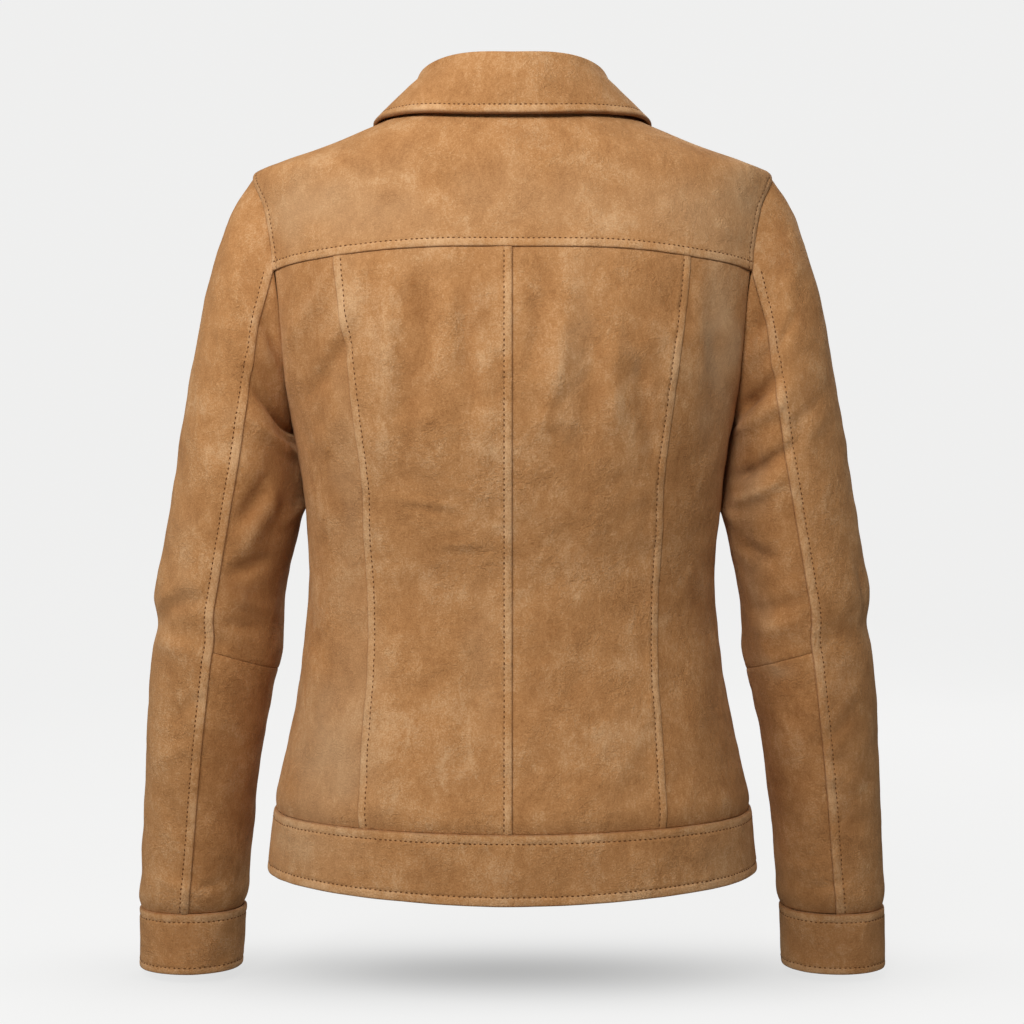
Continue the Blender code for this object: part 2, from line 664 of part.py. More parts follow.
def make_waistband(material):
    lap_angle = float(map_point(-float(FRONT_LAP), BAND_TOP_HEIGHT, False)[0])
    if lap_angle > 0:
        lap_angle -= 360
    front = np.concatenate([[-90.0], front_waist_angles()[:, 0]])
    side = waist_line(0.0, float(PRINCESS[-1, 0]), BACK_SIDE_COLUMNS)[:, 0]
    centre = waist_line(float(PRINCESS[-1, 0]), 90.0, BACK_CENTRE_COLUMNS)[:, 0]
    half = np.concatenate([[lap_angle], front, side[1:], centre[1:]])
    angles = np.concatenate([half, 180 - half[-2::-1]])
    down = np.linspace(0, 1, BAND_ROWS + 1)[:, None]
    levels = (1 - down) * band_top_level(angles) + down * hem_level(angles)
    grid = np.stack(np.broadcast_arrays(angles, levels), axis=-1)
    outer = bare_torso_point(grid[..., 0], grid[..., 1])
    normal = torso_normal(grid[..., 0], grid[..., 1])
    upper_end = grid[..., 0] > 180
    lift = np.where(upper_end, lap_lift(outer[..., 0], BAND_LIFT), 0.0)
    outer = outer + (lift + DOUBLED_THICKNESS - SUEDE_THICKNESS)[..., None] * normal
    add_wall("waistband", outer, -DOUBLED_THICKNESS * normal, material)


def seam_turn(seam, run):
    return interpolate(seam["run"], seam["turn"], run)


def sleeve_rows(start, end):
    """Runs of the rows of a sleeve piece: those of the sleeve's own rings, with long gaps halved."""
    inside = (SLEEVE_RUN > start + SHORTEST_SLEEVE_ROW) & (SLEEVE_RUN < end - SHORTEST_SLEEVE_ROW)
    runs = [start]
    for run in [*SLEEVE_RUN[inside], end]:
        if run - runs[-1] > SLEEVE_LONGEST_ROW:
            runs.append((run + runs[-1]) / 2)
        runs.append(run)
    return np.array(runs)


def sleeve_grid(ring_turns, first_seam, last_seam, runs):
    """Grid of turns and runs between two long seams of the sleeve."""
    share = (ring_turns - ring_turns[0]) / (ring_turns[-1] - ring_turns[0])
    first = first_seam(runs)[:, None]
    last = last_seam(runs)[:, None]
    turns = first + (last - first) * share[None, :]
    return turns, np.broadcast_to(runs[:, None], turns.shape)


def make_sleeves(top_material, under_material):
    upper_runs = sleeve_rows(0.0, float(ELBOW_SEAM_RUN))
    lower_runs = sleeve_rows(float(ELBOW_SEAM_RUN), CUFF_TOP_RUN)
    under_turns = np.concatenate([TURNS_BACK, TURNS_UNDER[1:]])
    top_turns = np.concatenate([TURNS_FRONT, 360 + TURNS_YOKE[1:]])

    def back_seam(runs):
        return seam_turn(SLEEVE_BACK_SEAM, runs) + YOKE_CORNER_TURN - SLEEVE_BACK_SEAM["turn"][0]

    def front_seam(runs):
        return seam_turn(SLEEVE_FRONT_SEAM, runs)

    def add(stem, turns_at_armhole, first_seam, last_seam, runs, material):
        turns, run_grid = sleeve_grid(turns_at_armhole, first_seam, last_seam, runs)
        outer = sleeve_point(turns, run_grid)
        inward = -SUEDE_THICKNESS * sleeve_normal(turns, run_grid)
        if runs[0] == 0:
            inward[0] = armhole_mitre(turns_at_armhole, True)
        add_pair(stem, outer, inward, material)

    all_runs = np.concatenate([upper_runs, lower_runs[1:]])
    add("sleeve_top", top_turns, front_seam, lambda runs: 360 + back_seam(runs), all_runs, top_material)
    add("sleeve_under_upper", under_turns, back_seam, front_seam, upper_runs, under_material)
    add("sleeve_under_lower", under_turns, back_seam, front_seam, lower_runs, under_material)

    runs = np.linspace(CUFF_TOP_RUN, CUFF_BOTTOM_RUN, BAND_ROWS + 1)
    end_runs = np.array([CUFF_TOP_RUN])
    top_ring = sleeve_grid(top_turns, front_seam, lambda r: 360 + back_seam(r), end_runs)[0][0]
    under_ring = sleeve_grid(under_turns, back_seam, front_seam, end_runs)[0][0]
    ring = np.concatenate([under_ring[:-1], top_ring[:-1]])
    turns, run_grid = np.broadcast_arrays(ring[None, :], runs[:, None])
    normal = sleeve_normal(turns, run_grid)
    outer = bare_sleeve_point(turns, run_grid) + (DOUBLED_THICKNESS - SUEDE_THICKNESS) * normal
    add_pair("cuff", outer, -DOUBLED_THICKNESS * normal, top_material, closed=True)


def collar_feet(neck):
    """Foot of the collar along the neckline, just inside the rim of the body."""
    rim = bare_torso_point(neck[:, 0], neck[:, 1])
    along = np.gradient(rim, axis=0)
    away = unit(np.stack([along[:, 1], -along[:, 0], 0 * along[:, 2]], axis=-1))
    steep = np.sum(torso_normal(neck[:, 0], neck[:, 1]) * away, axis=-1, keepdims=True)
    inset = SUEDE_THICKNESS * steep + COLLAR_FOOT_GAP + DOUBLED_THICKNESS
    return rim - away * inset - np.array([0, 0, COLLAR_SINK])


def collar_profile(place, foot):
    """One cross-section of the left half of the collar, from its foot over the fold to its edge."""
    edge_map = interpolate(COLLAR_EDGE["place"],
                           np.stack([COLLAR_EDGE["angle"], level_at(COLLAR_EDGE["height"])], axis=-1),
                           np.array(place))
    lift = float(interpolate(COLLAR_EDGE["place"], COLLAR_EDGE["lift"], place))
    bow = float(interpolate(COLLAR_EDGE["place"], COLLAR_EDGE["bow"], place))
    edge = bare_torso_point(*edge_map) + lift * torso_normal(*edge_map)
    rise, lean, radius = (
        float(interpolate(COLLAR_FOLD["place"], COLLAR_FOLD[name], place))
        for name in ("rise", "lean", "radius")
    )
    outward = unit((edge - foot) * np.array([1, 1, 0]))
    up = np.array([0.0, 0.0, 1.0])
    stand_top = foot + lean * outward + (rise + COLLAR_SINK - radius) * up
    points = [foot, foot + 0.55 * (stand_top - foot), stand_top]
    for step in (45, 90, 135, 180):
        turn = math.radians(step)
        points.append(stand_top + radius * (1 - math.cos(turn)) * outward + radius * math.sin(turn) * up)
    shoulder = points[-1]
    fall_way = unit(edge - shoulder)
    side_way = np.cross(fall_way, unit(np.cross(up, outward)))
    side_way = side_way * np.sign(side_way[2])
    for part in (0.3, 0.65, 1.0):
        points.append(shoulder + part * (edge - shoulder) + bow * math.sin(math.pi * part) * side_way)
    return np.array(points)


def make_collar(material):
    back_places = 1 - np.linspace(0, 1, NECK_BACK_COLUMNS + 1)
    front_run = run_length(*bare_torso_point(NECK_FRONT[:, 0], NECK_FRONT[:, 1]).T)
    front_places = 2 - front_run / front_run[-1]
    places = np.concatenate([front_places, back_places[1:]])
    feet = collar_feet(np.concatenate([NECK_FRONT, NECK_BACK[1:]]))
    half = np.array([collar_profile(place, foot) for place, foot in zip(places, feet)])
    half[0] = half[0] + np.array([COLLAR_END_GAP, 0, 0])
    whole = np.concatenate([half, mirrored(half[-2::-1])])
    rows = whole.transpose(1, 0, 2)
    round_way = np.gradient(rows, axis=1)
    down_way = np.gradient(rows, axis=0)
    normal = unit(np.cross(down_way, round_way))
    finish_object("collar", wall_mesh("collar", rows, rows - DOUBLED_THICKNESS * normal), material)


def make_button(name, height, lift, material):
    """A plain domed button on the centre front, standing on the upper front."""
    place = map_point(0.0, height, False)
    normal = torso_normal(place[0], place[1])
    seat = bare_torso_point(place[0], place[1]) + (lift + BUTTON_SEAT_GAP) * normal
    side = np.array([1.0, 0.0, 0.0])
    up = np.cross(normal, side)
    points = [seat]
    for share, out in BUTTON_OUTLINE:
        for number in range(BUTTON_SIDES):
            turn = 2 * math.pi * number / BUTTON_SIDES
            spoke = math.cos(turn) * side + math.sin(turn) * up
            points.append(seat + out * normal + share * BUTTON_RADIUS * spoke)
    points.append(seat + BUTTON_HEIGHT * normal)
    faces = []
    for number in range(BUTTON_SIDES):
        after = (number + 1) % BUTTON_SIDES
        faces.append((0, 1 + number, 1 + after))
        for ring in range(len(BUTTON_OUTLINE) - 1):
            low = 1 + ring * BUTTON_SIDES
            high = low + BUTTON_SIDES
            faces.append((low + number, low + after, high + after, high + number))
        top = 1 + (len(BUTTON_OUTLINE) - 1) * BUTTON_SIDES
        faces.append((top + number, top + after, len(points) - 1))
    mesh = bpy.data.meshes.new(name)
    mesh.from_pydata([tuple(point * MM) for point in points], [], faces)
    finish_object(name, mesh, material)


def make_material(name, colour, roughness, metallic):
    material = bpy.data.materials.new(name)
    material.use_nodes = True
    shader = material.node_tree.nodes["Principled BSDF"]
    shader.inputs["Base Color"].default_value = (*colour, 1)
    shader.inputs["Roughness"].default_value = roughness
    shader.inputs["Metallic"].default_value = metallic
    return material


def main():
    for item in list(bpy.data.objects):
        bpy.data.objects.remove(item, do_unlink=True)
    bpy.context.scene.collection.objects.link(bpy.data.objects.new("jacket", None))
    suede = make_material("suede_tan", SUEDE_TAN, 0.95, 0.0)
    suede_deep = make_material("suede_deep", SUEDE_DEEP, 0.95, 0.0)
    brass = make_material("button_brass", BUTTON_BRASS, 0.45, 0.9)
    make_back_yoke(suede)
    make_back_panels(suede, suede_deep)
    make_fronts(suede)
    make_waistband(suede)
    make_sleeves(suede, suede_deep)
    make_collar(suede)
    for number, height in enumerate(BUTTON_HEIGHTS, start=1):
        make_button(f"button_{number}", height, FRONT_LIFT, brass)
    band_lift = BAND_LIFT + DOUBLED_THICKNESS - SUEDE_THICKNESS
    make_button("button_waistband", BAND_BUTTON_HEIGHT, band_lift, brass)


main()
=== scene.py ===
"""Looks of the short suede jacket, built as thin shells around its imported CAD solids.

Lengths are in millimetres until a mesh is made, and angles in degrees. +X is the wearer's left,
+Y the back and +Z up, as in the frame. The camera looks at the back.
"""
import math

import bmesh
import bpy
import numpy as np
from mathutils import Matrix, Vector


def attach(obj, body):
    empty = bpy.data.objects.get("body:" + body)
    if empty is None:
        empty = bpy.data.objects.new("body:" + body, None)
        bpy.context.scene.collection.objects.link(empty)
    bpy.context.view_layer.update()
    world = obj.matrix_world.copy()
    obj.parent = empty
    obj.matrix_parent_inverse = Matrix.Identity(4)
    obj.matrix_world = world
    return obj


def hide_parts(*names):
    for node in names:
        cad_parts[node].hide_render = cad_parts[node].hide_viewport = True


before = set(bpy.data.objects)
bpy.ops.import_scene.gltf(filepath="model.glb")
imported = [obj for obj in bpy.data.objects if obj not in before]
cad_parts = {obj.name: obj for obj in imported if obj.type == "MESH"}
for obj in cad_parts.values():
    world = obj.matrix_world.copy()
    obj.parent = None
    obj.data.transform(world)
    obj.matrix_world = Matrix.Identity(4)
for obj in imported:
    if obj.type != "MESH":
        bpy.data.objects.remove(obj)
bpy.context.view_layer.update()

MM = 0.001
TINY = 1e-9

# Steps to each side in which the slope of a surface is measured
HALF_DEGREE = 0.5
HALF_MM = 0.5

# ---------------------------------------------------------------- sizes shared with the CAD solids

SUEDE_THICKNESS = 1.5
DOUBLED_THICKNESS = 2.6
NECK_HALF_WIDTH = 72
SHOULDER_TIP_HEIGHT = -47
ARMPIT_HEIGHT = -240
BAND_TOP_HEIGHT = -545
HEM_HEIGHT = -596
BAND_TOP_RISE_AT_SIDE = 3
HEM_RISE_AT_SIDE = 7
FRONT_NECK_HEIGHT = -78
LAP_NECK_HEIGHT = FRONT_NECK_HEIGHT + 3
YOKE_CORNER_HEIGHT = -127
FRONT_LAP = 15
LAP_RAMP_START = 62
LAP_RAMP_END = 25
FRONT_LIFT = SUEDE_THICKNESS + 0.7
BAND_LIFT = DOUBLED_THICKNESS + 0.5
ARMHOLE_REACH_BACK = 14.6
ARMHOLE_REACH_FRONT = 15.4
SLEEVE_FRONT_SEAM_TURN = 230
SLEEVE_STAND_OFF = 0.35
CUFF_TOP_HEIGHT = -628.6
CUFF_BOTTOM_HEIGHT = -676
ELBOW_SEAM_RUNS = (281.5, 293)
BUTTON_RADIUS = 8.5
BUTTON_SEAT_GAP = 0.6
BUTTON_HEIGHTS = (-97, -187, -277, -367, -457)
BAND_BUTTON_HEIGHT = (BAND_TOP_HEIGHT + HEM_HEIGHT) / 2
COLLAR_SINK = 0.8
COLLAR_FOOT_GAP = 0.5
COLLAR_END_GAP = 1.5

# ---------------------------------------------------------------- sizes of the looks

# Spacing of the mesh over the cloth, how far a piece stops short of its seam, and its round rim
BACK_STEP = 2.3
SLEEVE_STEP = 2.4
FRONT_STEP = 3.3
BAND_STEP = 2.2
COLLAR_STEP = 1.9
SEAM_PULL = 0.24
RIM_BULGE = 0.45
RIM_LEANS = (math.pi / 4, 0, -math.pi / 4)

# Stitching: one thread stitch, and how far its rows lie from the edges beside them
STITCH_PITCH = 3.9
STITCH_LENGTH = 2.4
STITCH_WIDTH = 1.0
STITCH_HEIGHT = 0.42
STITCH_SIDES = 5
STITCH_RINGS = ((-0.5, 0.3, -0.3), (-0.2, 1.0, 0.25), (0.2, 1.0, 0.25), (0.5, 0.3, -0.3))
STITCH_INSET = 1.5
STITCH_SLIP = 0.12
STITCH_TILT = 0.06
SEAM_STITCH = 6.2
YOKE_STITCH = 6.7
ARMHOLE_STITCH = 5.6
SLEEVE_STITCH = 6.8
BAND_STITCH = 6.2
HEM_STITCH = 6.6
CUFF_STITCH = 6.1
CUFF_HEM_STITCH = CUFF_STITCH - 0.8
COLLAR_STITCH = 6.4

# The photograph's camera: level, behind the jacket
CAMERA_BACK = 1400
CAMERA_HEIGHT = -311
MM_PER_PIXEL = 0.79
PHOTO_SIDE = 1024
PHOTO_CENTRE = 512.5
SENSOR = 36
FLOOR_HEIGHT = -684

# Studio, in metres: a floor that curves up into a backdrop, its glow as the camera sees it and as
# the cloth gets it, and the shade under the jacket by its middle, half widths and depth
STAGE_NEAR = 4.0
STAGE_FAR = 2.2
STAGE_CURVE = 1.2
STAGE_TOP = 5.0
STAGE_HALF_WIDTH = 6.0
STAGE_SEEN_GLOW = 0.85
STAGE_GLOW = 0.22
STAGE_SHADE = (0.0, -0.04, 0.235, 0.075, 0.46)
WORLD_STRENGTH = 0.03
STAGE_CURVE_STEPS = 12
PAPER_TONES = ((0.055, 0.055, 0.055), (0.065, 0.065, 0.065))
STAGE_TINT = (1.0, 1.0, 0.995)

# Suede: its pale, middle and dark tone and its sheen, and where the tones lie on its ramp
SUEDES = {
    "suede": ((0.68, 0.41, 0.212), (0.49, 0.238, 0.090), (0.33, 0.140, 0.045), 0.16),
    # A darker copy for the side backs and under sleeves: painted shade for the panels that lie in shade
    # under the arms
    "suede_deeper": ((0.64, 0.375, 0.185), (0.455, 0.215, 0.079), (0.30, 0.123, 0.038), 0.14),
    "flesh_side": ((0.50, 0.30, 0.155), (0.40, 0.22, 0.100), (0.27, 0.135, 0.058), 0.1),
}
TONE_STOPS = (0.16, 0.52, 0.86)
# Colours the patches blend towards: pale nap and painted highlight, deep nap and painted shade
PALE_NAP_AND_HIGHLIGHT = (0.62, 0.44, 0.265)
DEEP_NAP_AND_SHADE = (0.24, 0.09, 0.026)
# Tint of the dark line at edges: darker cut edge and painted seam shade
CUT_EDGE_AND_SEAM_SHADE_TINT = (0.5, 0.38, 0.28)
SHEEN_TINT = (1.0, 0.7, 0.44)

# Noises: scale and detail, and roughness and distortion where they aren't the usual ones
NAP_STRETCH = (1.0, 1.0, 0.5)
CLOUDS = (24, 4, 0.6, 0.6)
PATCHES = (85, 4, 0.62, 0.8)
STREAKS = (330, 3, 0.6, 0.3)
GRAIN = (800, 3, 0.7)
WRINKLES = (260, 5, 0.62, 1.2)
WRINKLED_AREAS = (40, 2, 0.5)
TWIST = (900, 2)
TARNISH = (420, 5)
SCRATCHES = (2600, 2)
PAPER_GRAIN = (3, 2)

# How much each noise of the suede, and each mark on the mesh, shifts the tone
TONE_BASE = 0.14
CLOUD_TONE = 0.72
PATCH_TONE = 0.5
STREAK_TONE = 0.3
GRAIN_TONE = 0.8
# Painted shading: ridges are painted paler and troughs darker
CREASE_PAINTED_SHADING = 0.03
STRIP_TONE = 0.13
# Shares of the pale and the deep patches of nap and painted light and shade
PALE_NAP_AND_HIGHLIGHT_SHARE = 0.55
DEEP_NAP_AND_SHADE_SHARE = 0.62
# Share of the dark edge line, partly painted seam shade
CUT_EDGE_AND_SEAM_SHADE_SHARE = 0.55

# How high each of them stands in the bump, and where the wrinkles are
GRAIN_HEIGHT = 0.4
PATCH_HEIGHT = 0.4
WRINKLE_HEIGHT = 1.4
WRINKLE_CONTRAST = 2.4
WRINKLE_LEVEL = -0.7

# Thread and brass: dark and light colour
THREAD_TONES = ((0.095, 0.036, 0.011), (0.185, 0.074, 0.025))
BRASS_TONES = ((0.10, 0.062, 0.030), (0.40, 0.28, 0.14))
BRASS_STOPS = (0.3, 0.7)
BRASS_ROUGHNESS = (0.55, 0.32)


def table(columns, rows):
    """Gives one array for each named column of a short table."""
    return dict(zip(columns.split(), np.array(rows, dtype=float).T))


# Level rings of the body, from the neck over the shoulders down to the hem
TORSO = table("height half_width back_depth front_depth squareness", [
    (0, NECK_HALF_WIDTH, 61, 58, 2.0),
    (-7, 104, 67, 66, 2.0),
    (-12.5, 117, 70, 70, 2.05),
    (-22, 139, 75, 76, 2.1),
    (-31, 162, 79, 81, 2.15),
    (-40, 187, 83, 85, 2.2),
    (SHOULDER_TIP_HEIGHT, 202, 86, 88, 2.2),
    (-80, 201, 96, 98, 2.25),
    (-120, 196, 106, 112, 2.3),
    (-170, 186, 114, 124, 2.3),
    (ARMPIT_HEIGHT, 172.5, 115, 127, 2.3),
    (-300, 164, 107, 118, 2.25),
    (-365, 159, 97, 107, 2.2),
    (-430, 165, 100, 107, 2.2),
    (-490, 176, 110, 113, 2.25),
    (BAND_TOP_HEIGHT, 186.5, 119, 119, 2.3),
    (HEM_HEIGHT, 191, 121, 121, 2.3),
])
YOKE_SEAM = table("x height", [(0, -117), (60, -117), (98, -118.5), (134, -121.5), (165, -124.5)])
PRINCESS_SEAM = table("x height", [
    (132.8, -121.4),
    (121.5, -212),
    (112.6, -287),
    (110.4, -347),
    (109.6, -450),
    (113.2, BAND_TOP_HEIGHT),
])
FRONT_NECK = table("x height", [(0, FRONT_NECK_HEIGHT), (22, -72), (43, -56), (59, -34), (69, -13)])

# Outline of a sleeve: where each slanting ring meets the outer and the inner edge, and its depth
SLEEVE = table("outer_x outer_height inner_x inner_height half_depth centre_y squareness", [
    (220, -74, 174.4, -246, 52, -1, 2.1),
    (235.5, -118, 173.6, -258, 56, -2, 2.1),
    (246.5, -163, 170.8, -278, 58, -4, 2.1),
    (257.5, -222, 169.0, -306, 58.5, -7, 2.1),
    (267.5, -285, 173.5, -338, 57.5, -10, 2.1),
    (277, -337, 180.5, -374, 56, -13, 2.1),
    (284, -379, 183.5, -405, 54, -15, 2.1),
    (281.5, -398, 184.5, -420, 53, -17, 2.1),
    (285.5, -418, 188.5, -437, 52, -18, 2.1),
    (290.5, -462, 196, -472, 49.5, -21, 2.1),
    (295.5, -540, 207.5, -544, 44, -28, 2.1),
    (298.5, -600, 213.5, -601, 40.5, -33, 2.1),
    (299.5, CUFF_TOP_HEIGHT, 216.5, CUFF_TOP_HEIGHT, 38.5, -35, 2.1),
    (299.8, CUFF_BOTTOM_HEIGHT, 219.5, CUFF_BOTTOM_HEIGHT, 36.5, -35, 2.1),
])
SLEEVE_BACK_SEAM = table("run turn", [
    (0, 80.2),
    (10, 91),
    (22, 99),
    (61, 101),
    (102, 98),
    (160, 95.5),
    (235, 95.3),
    (268, 93.6),
    (300, 95.4),
    (400, 96),
    (495, 93.5),
])
SLEEVE_FRONT_SEAM = table("run turn", [(0, SLEEVE_FRONT_SEAM_TURN), (200, 226), (500, 222)])
COLLAR_FOLD = table("place rise lean radius", [
    (0, 36.6, 1.5, 4.4),
    (0.5, 37.8, 0.5, 4.4),
    (1, 30.6, -1.0, 4.4),
    (1.5, 23, 1.0, 4.4),
    (2, 16, 3.5, 4.2),
])
COLLAR_EDGE = table("place angle height lift bow", [
    (0, 90, -15.5, 5.8, 2.0),
    (0.4, 62, -14.5, 5.6, 1.5),
    (0.75, 28, -10.5, 5.2, 0.8),
    (1, 3, -8, 5.4, 1.0),
    (1.2, -16, -14, 6.6, 4.0),
    (1.5, -36, -45, 7.2, 6.6),
    (1.75, -48, -88, 8.2, 9.6),
    (2, -60, -130, 8.4, 10.0),
])

# ---------------------------------------------------------------- creases

CREASE_REACH = 0.58
CREASE_FADE_POWER = 3.2

CREASE_COLUMNS = "start_first start_second end_first end_second bow rise half_width"

# On the back: x and height of both ends; the left panels come first
BACK_CREASES = table(CREASE_COLUMNS, [
    (136, -130, 169, -184, 1.5, 2.5, 7.9),
    (142, -125, 159, -159, 0.0, -1.9, 6.1),
    (118, -181, 156, -223, 1.5, -3.2, 7.9),
    (119, -154, 147, -208, 0.0, 1.9, 7.0),
    (124, -228, 147, -264, 0.0, 1.7, 8.8),
    (143, -348, 164, -456, 4.4, 2.5, 15.7),
    (111, -127, 118, -168, 0.0, 2.0, 5.3),
    (91, -145, 97, -259, 2.9, 3.7, 7.9),
    (64, -134, 65, -215, 2.2, -3.1, 8.8),
    (45, -149, 41, -194, 0.0, 2.2, 7.9),
    (37, -157, 25, -230, -2.2, -3.1, 7.0),
    (18, -200, 21, -280, 0.0, 2.0, 7.9),
    (79, -178, 75, -265, 0.0, -2.0, 7.9),
    (83, -302, 44, -307, 0.7, 0.7, 2.8),
    (81, -307, 46, -312, -0.7, -0.7, 2.8),
    (53, -292, 30, -296, 0.7, 0.5, 2.9),
    (50, -336, 15, -335, 0.7, 0.8, 3.2),
    (54, -341, 17, -340, 0.0, -0.5, 3.2),
    (37, -435, 57, -496, 2.9, 2.0, 12.2),
    (26, -405, 42, -478, 2.9, -1.7, 12.2),
    (89, -414, 92, -522, -2.2, 2.4, 10.6),
    (-21, -146, -13, -208, 1.5, -2.2, 7.0),
    (-39, -155, -25, -241, 2.2, 2.7, 7.9),
    (-58, -179, -49, -269, 2.2, -1.9, 8.8),
    (-77, -175, -75, -252, -1.5, 2.2, 7.9),
    (-94, -203, -105, -269, -2.2, -2.2, 7.0),
    (-35, -259, -20, -302, 0.0, -0.7, 7.9),
    (-66, -280, -57, -346, 0.0, 0.7, 9.6),
    (-102, -454, -71, -513, 2.9, 1.2, 10.6),
    (-57, -406, -35, -463, 2.9, -0.9, 10.6),
    (-139, -153, -138, -243, 0.0, 1.4, 8.8),
    (-149, -146, -154, -249, 0.0, -1.8, 7.0),
    (-135, -378, -140, -497, 2.9, 1.2, 12.2),
])

# On the front: x and height of both ends
FRONT_CREASES = table(CREASE_COLUMNS, [
    (112, -200, 96, -330, 4.0, 3.5, 13),
    (90, -180, 78, -290, 2.0, -2.6, 9),
    (138, -170, 120, -262, 3.0, -2.6, 8),
    (60, -210, 52, -330, 2.0, 1.9, 9),
    (148, -250, 118, -300, 0.0, 2.1, 8),
    (70, -400, 84, -510, -3.0, 2.9, 14),
    (40, -380, 44, -470, 0.0, -1.6, 10),
    (120, -350, 100, -390, 2.0, -1.6, 8),
    (-108, -190, -90, -320, -4.0, 3.5, 13),
    (-84, -170, -72, -270, -2.0, -2.4, 9),
    (-136, -180, -124, -258, -2.0, -2.6, 8),
    (-56, -230, -50, -345, -2.0, 2.1, 9),
    (-78, -380, -86, -500, 3.0, 2.9, 14),
    (-46, -400, -50, -490, 0.0, -1.6, 10),
    (-146, -256, -120, -310, 0.0, 1.9, 8),
    (-126, -340, -104, -385, 2.0, -1.8, 8),
])

# On a sleeve: turn and run of both ends; those of the left sleeve, then those of the right one
LEFT_SLEEVE_CREASES = table(CREASE_COLUMNS, [
    (182, 14, 182, 128, 0.0, 5.2, 16.0),
    (96, 14, 124, 0, 0.0, -3.8, 5.5),
    (105, 19, 141, 0, 0.0, 3.2, 7.0),
    (104, 61, 180, 24, 3.0, -5.6, 6.2),
    (112, 83, 180, 59, 3.0, 3.8, 7.0),
    (126, 119, 105, 171, 0.0, -4.4, 5.8),
    (134, 136, 112, 189, 0.0, 3.4, 7.0),
    (150, 150, 190, 120, 2.0, 2.2, 8.0),
    (136, 193, 105, 216, 0.0, -3.4, 6.4),
    (108, 236, 152, 238, 2.0, 1.6, 6.2),
    (104, 257, 140, 254, 0.0, -1.8, 5.5),
    (64, 18, 74, 33, 0.0, 0.8, 4.7),
    (59, 65, 71, 76, 0.0, 0.7, 2.6),
    (45, 116, 54, 132, 0.0, 0.8, 4.2),
    (28, 270, 83, 243, 2.0, -2.3, 6.2),
    (36, 253, 72, 231, 0.0, 1.8, 7.0),
    (28, 283, 70, 284, 0.0, 1.6, 7.0),
    (64, 338, 94, 319, 0.0, -1.2, 7.0),
    (54, 370, 94, 355, 0.0, 1.1, 7.0),
    (62, 401, 92, 440, 0.0, -1.1, 7.0),
    (60, 465, 104, 475, 0.0, 1.1, 4.7),
    (102, 472, 132, 466, 0.0, -1.1, 3.9),
])
RIGHT_SLEEVE_CREASES = table(CREASE_COLUMNS, [
    (182, 14, 182, 128, 0.0, 5.2, 16.0),
    (112, 0, 96, 15, 0.0, -3.8, 5.5),
    (123, 0, 102, 21, 0.0, 3.1, 6.2),
    (145, 15, 101, 59, 2.0, -6.4, 5.8),
    (155, 36, 98, 82, 2.0, 4.2, 7.0),
    (150, 98, 99, 121, 2.0, -6.0, 5.8),
    (154, 124, 102, 139, 2.0, 3.6, 7.0),
    (186, 110, 150, 150, 2.0, 2.5, 8.0),
    (152, 175, 118, 199, 0.0, -3.4, 7.0),
    (156, 236, 102, 237, 2.0, -1.6, 7.0),
    (155, 254, 112, 255, 0.0, 1.4, 6.2),
    (90, 42, 67, 49, 0.0, -1.2, 4.7),
    (88, 107, 57, 112, 0.0, -1.5, 5.5),
    (83, 123, 54, 126, 0.0, 1.2, 6.2),
    (40, 224, 28, 272, 0.0, -2.0, 6.2),
    (62, 330, 90, 352, 0.0, -1.1, 7.0),
    (58, 392, 96, 380, 0.0, 1.1, 7.0),
    (118, 472, 86, 466, 0.0, -1.1, 3.9),
    (144, 459, 97, 448, 0.0, 0.9, 5.5),
])

# Folds of the hidden front of both sleeves, mostly in the bend of the elbow
SLEEVE_FRONT_CREASES = table(CREASE_COLUMNS, [
    (300, 262, 236, 284, 3.0, -2.0, 6.5),
    (308, 286, 240, 300, 2.0, 1.8, 7.0),
    (304, 304, 250, 316, -2.0, -1.8, 6.0),
    (296, 330, 246, 322, 2.0, 1.4, 8.0),
    (290, 230, 232, 246, 2.0, 1.2, 8.0),
    (330, 20, 250, 60, 4.0, -1.6, 8.0),
    (320, 50, 236, 92, 4.0, 1.6, 9.0),
    (300, 110, 230, 140, 3.0, -1.2, 8.0),
    (280, 170, 330, 196, 2.0, 0.9, 9.0),
    (270, 380, 320, 402, 2.0, -0.9, 8.0),
    (252, 430, 300, 420, 2.0, 0.8, 8.0),
    (246, 468, 300, 460, 1.0, -0.8, 4.5),
])

